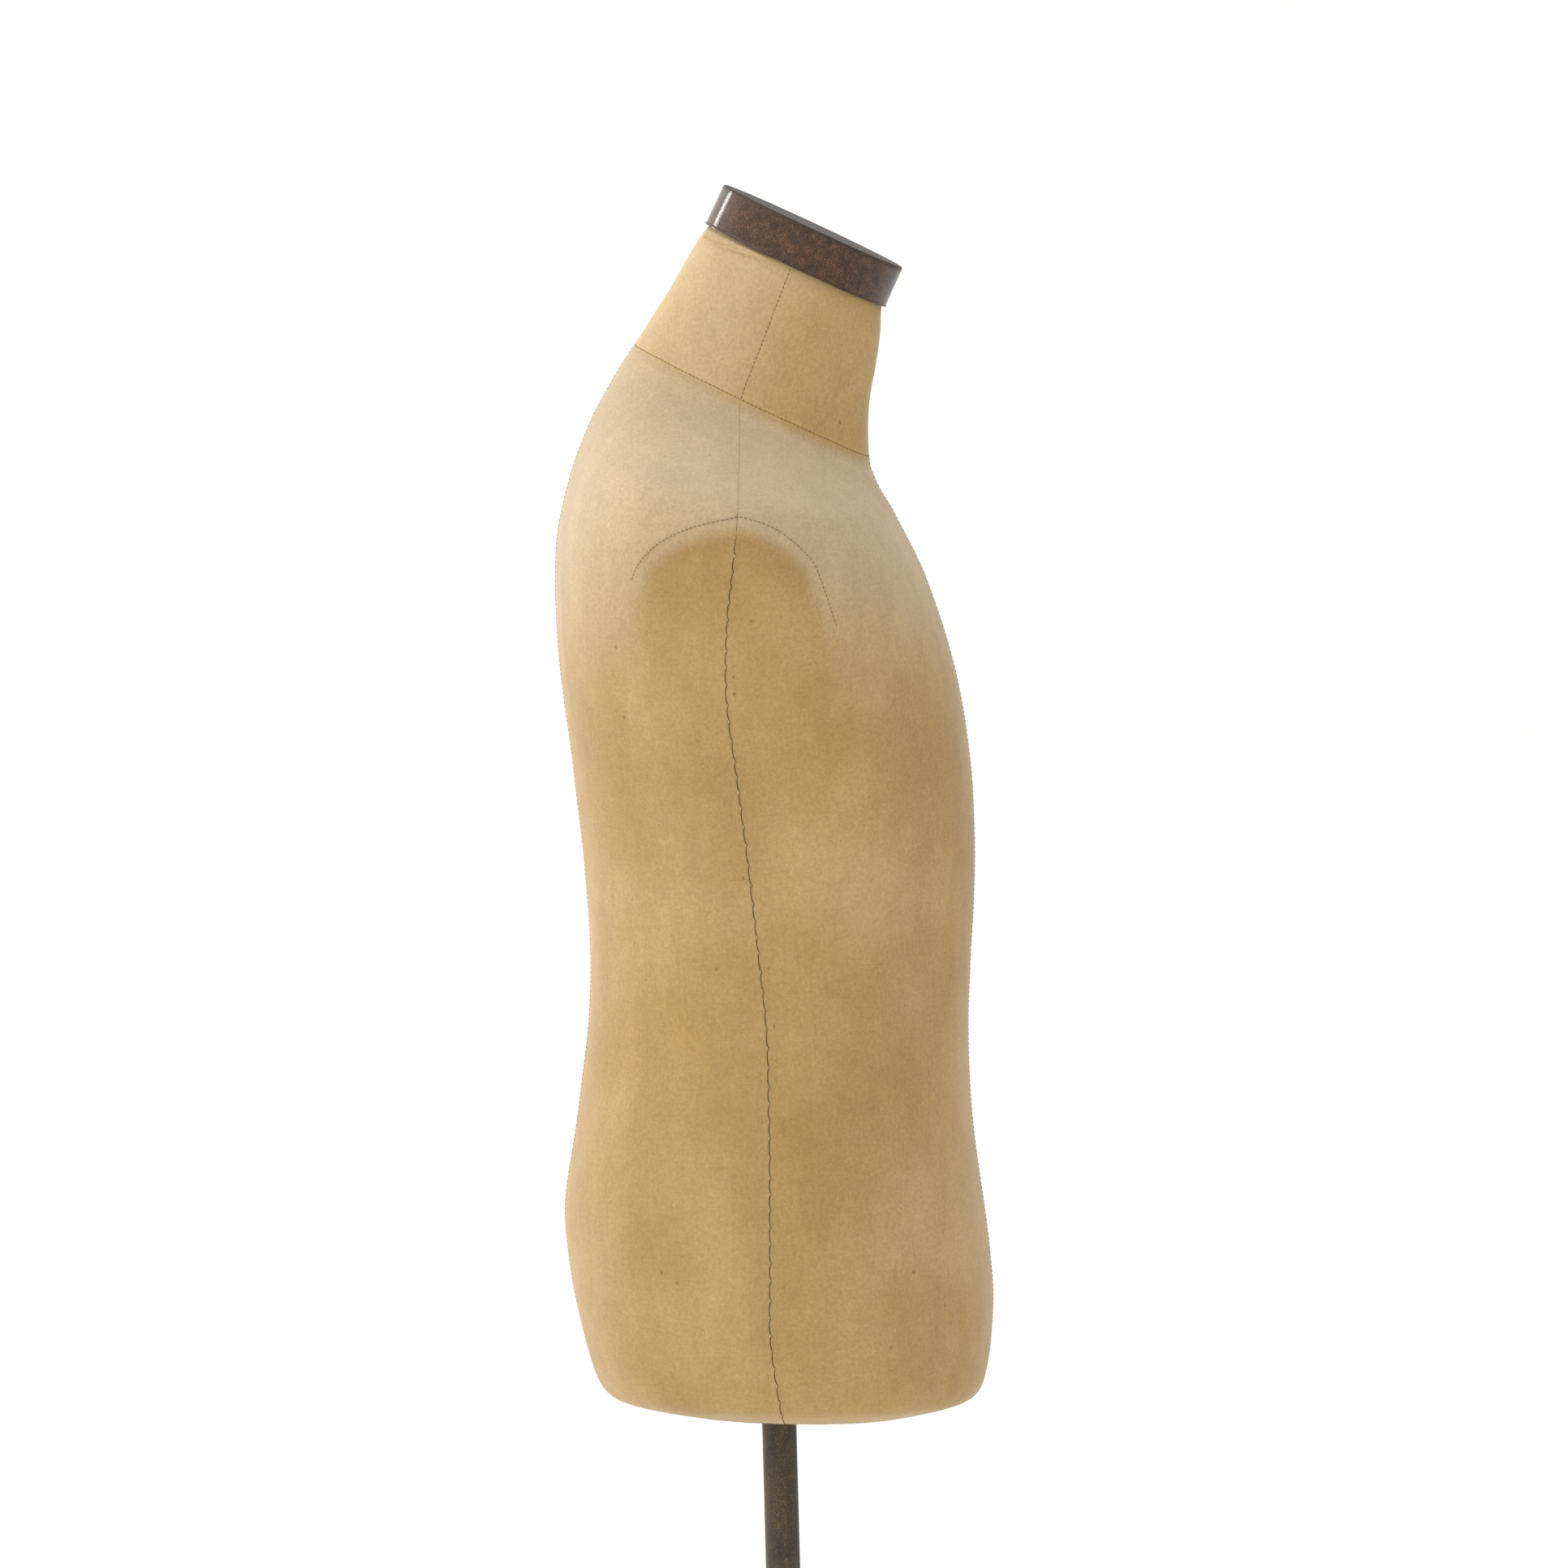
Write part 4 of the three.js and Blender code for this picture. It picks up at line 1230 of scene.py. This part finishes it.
def build_neck_cap():
    """A shallow iron cap with a rolled top edge, a little dented and uneven round its lip."""
    radius = CAP_REACH / MM
    height = CAP_HEIGHT / MM
    wall = 1.5
    outline = [(0, height), (radius - 0.5, height)]
    outline += [(radius - 0.5, height * k / 8) for k in range(7, 0, -1)]
    outline += [(radius - 0.5, 1.6), (radius, 0.9), (radius, 0)]
    outline += [(radius - wall - 0.5, 0), (radius - wall - 0.5, height - wall), (0, height - wall)]
    rim = rounded(outline[:3], 3.2, 6)
    lip = rounded(outline[2:], 0.45, 2)
    top = [(radius * k / 6, height + 0.25 * (k / 6 - 1)) for k in range(6)]
    profile = [*top, *rim[1:-1], *lip]
    bm = turned(profile, 128, stretch=CAP_STRETCH)
    wear = bm.verts.layers.float.new("wear")
    for vert in bm.verts:
        level = vert.co.z / CAP_HEIGHT
        reach = Vector((vert.co.x, vert.co.y / CAP_STRETCH)).length / CAP_REACH
        edge = smooth_step(0.86, 0.97, level) * smooth_step(0.93, 0.975, reach)
        lip_wear = 1 - smooth_step(0.03, 0.1, level)
        patch = 0.5 + 0.5 * noise.noise(vert.co * 160)
        on_top = smooth_step(0.93, 0.98, level)
        vert[wear] = max(edge * (0.5 + 0.5 * patch), 0.5 * lip_wear * patch, 0.95 * on_top)
        dent = 0.35 * noise.noise(vert.co * 24) + 0.12 * noise.noise(vert.co * 95)
        outwards = Vector((vert.co.x, vert.co.y, 0)).normalized()
        if reach > 0.5:
            vert.co += outwards * dent * MM * (0.4 + 0.6 * level)
        if level < 0.06:
            vert.co.z += 0.35 * MM * noise.noise(vert.co * 40)
    bm.normal_update()
    foot = CAP_MIDDLE - NECK_AXIS * CAP_HEIGHT / 2
    tilt = Vector((0, 0, 1)).rotation_difference(NECK_AXIS).to_matrix().to_4x4()
    bmesh.ops.transform(bm, matrix=Matrix.Translation(foot) @ tilt, verts=bm.verts[:])
    piece = into_object(bm, "neck_cap_rusted")
    settle(piece, "torso", RUSTED, ["neck_cap"], sharp=50)


def build_tube(node, name, body, wall, material, steps=64):
    low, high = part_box(node)
    outer = (high.x - low.x) / 2 / MM
    length = (high.z - low.z) / MM
    corners = [
        (outer - wall, length / 2),
        (outer - wall, 0),
        (outer, 0),
        (outer, length),
        (outer - wall, length),
        (outer - wall, length / 2),
    ]
    bm = turned(rounded(corners, 0.5, 3), steps, Matrix.Translation((0, 0, low.z)))
    piece = into_object(bm, name)
    return settle(piece, body, material, [node])


def rounded_copy(node, name, body, material, width, segments=3):
    """A CAD node's own shape with its sharp edges eased."""
    bm = merged_copy(node)
    bmesh.ops.dissolve_limit(
        bm, angle_limit=math.radians(1.0), verts=bm.verts[:], edges=bm.edges[:]
    )
    piece = into_object(bm, name)
    ease = piece.modifiers.new("Eased edges", "BEVEL")
    ease.width, ease.segments = width, segments
    ease.limit_method, ease.angle_limit = "ANGLE", math.radians(32)
    ease.use_clamp_overlap = True
    return settle(piece, body, material, [node])


def build_stand():
    build_tube("pole", "pole_patinated", "pole", 2, POLE_STEEL)
    build_tube("lower_tube", "lower_tube_patinated", "stand", 2, POLE_STEEL)
    rounded_copy("collar", "clamp_collar", "stand", BLACKED_IRON, 0.8 * MM)
    rounded_copy("thumb_screw", "wing_screw", "thumb_screw", BLACKED_IRON, 1.2 * MM)
    rounded_copy("hub", "base_hub", "stand", BLACKED_IRON, 0.8 * MM)
    low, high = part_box("base_plate")
    radius, thick = (high.x - low.x) / 2 / MM, (high.z - low.z) / MM
    corners = [
        (0, 0.3),
        (radius - 2, 0),
        (radius, 0),
        (radius, thick - 2.5),
        (radius - 4, thick - 0.6),
        (radius - 14, thick - 0.4),
        (radius - 15.5, thick - 1.0),
        (radius - 17, thick - 0.4),
        (radius * 0.55, thick - 0.1),
        (0, thick),
    ]
    bm = turned(rounded(corners, 1.2, 4), 160, Matrix.Translation((0, 0, low.z)))
    piece = into_object(bm, "base_disc")
    settle(piece, "stand", BLACKED_IRON, ["base_plate"])


def paint_cad_nodes():
    slots = {row["node"]: row["material_slot"] for row in frame["record"]["subparts"]}
    for node, obj in frame["nodes"].items():
        material = SLOT_MATERIALS[slots[node]]
        if not obj.material_slots:
            obj.data.materials.append(material)
        for held in obj.material_slots:
            held.material = material


# Studio


def build_floor():
    bm = bmesh.new()
    bmesh.ops.create_grid(bm, x_segments=1, y_segments=1, size=150)
    piece = into_object(bm, "studio_floor")
    made, tree, shader = start_material("pale_studio_floor")
    set_sockets(tree, shader, {"Base Color": linear("#fefefd"), "Roughness": 0.9})
    piece.data.materials.append(made)


def add_light(name, place, target, width, height, power, colour="#ffffff"):
    data = bpy.data.lights.new(name, "AREA")
    data.shape = "RECTANGLE"
    data.size, data.size_y, data.energy = width, height, power
    data.color = linear(colour)[:3]
    lamp = bpy.data.objects.new(name, data)
    lamp.location = place
    aim = Vector(target) - Vector(place)
    lamp.rotation_euler = aim.to_track_quat("-Z", "Y").to_euler()
    lamp.visible_camera = False
    bpy.context.scene.collection.objects.link(lamp)


def build_lights():
    world = bpy.data.worlds.new("studio")
    bpy.context.scene.world = world
    world.use_nodes = True
    sky = world.node_tree.nodes["Background"]
    sky.inputs["Color"].default_value = linear("#ffffff")
    # The room is dimmer in front of the form, on its chest's side.
    tree = world.node_tree
    towards = add(tree, "TexCoord").outputs["Generated"]
    split = add(tree, "SeparateXYZ", {"Vector": towards}).outputs["Y"]
    dimmed = add(
        tree,
        "MapRange",
        {"Value": split, "From Min": -1.0, "From Max": -0.1, "To Min": 0.46, "To Max": 1.14},
    ).outputs["Result"]
    tree.links.new(dimmed, sky.inputs["Strength"])
    heart = Vector((0, 0, 1.25))
    add_light("back_softbox", (1.9, 2.1, 1.9), heart, 0.3, 2.0, 28)
    add_light("side_fill", (-0.8, 3.2, 1.8), heart, 1.6, 2.0, 11)
    add_light("overhead_softbox", (-0.4, 1.0, 3.4), heart, 1.8, 1.8, 11)


def build_camera():
    distance, height = 11.1, 1.988
    forwards, level = 13.9 * MM, 1.2298
    data = bpy.data.cameras.new("camera")
    data.sensor_width = 36
    reach = math.hypot(distance, height - level)
    data.lens = data.sensor_width * reach / (1932 * 0.5189 * MM)
    data.clip_start, data.clip_end = 0.1, 400
    camera = bpy.data.objects.new("camera", data)
    place = Vector((-distance, -forwards, height))
    aim = Vector((0, -forwards, level)) - place
    turn = aim.to_track_quat("-Z", "Y").to_matrix().to_4x4()
    roll = Matrix.Rotation(math.radians(-1.52), 4, "Z")
    camera.matrix_world = Matrix.Translation(place) @ turn @ roll
    bpy.context.scene.collection.objects.link(camera)
    bpy.context.scene.camera = camera


build_camera()
build_lights()
build_floor()
paint_cad_nodes()
skin, seams = build_cover()
sew(skin, seams)
build_underside()
build_wadding(skin)
build_neck_cap()
build_stand()
bpy.context.scene.view_settings.view_transform = "Standard"
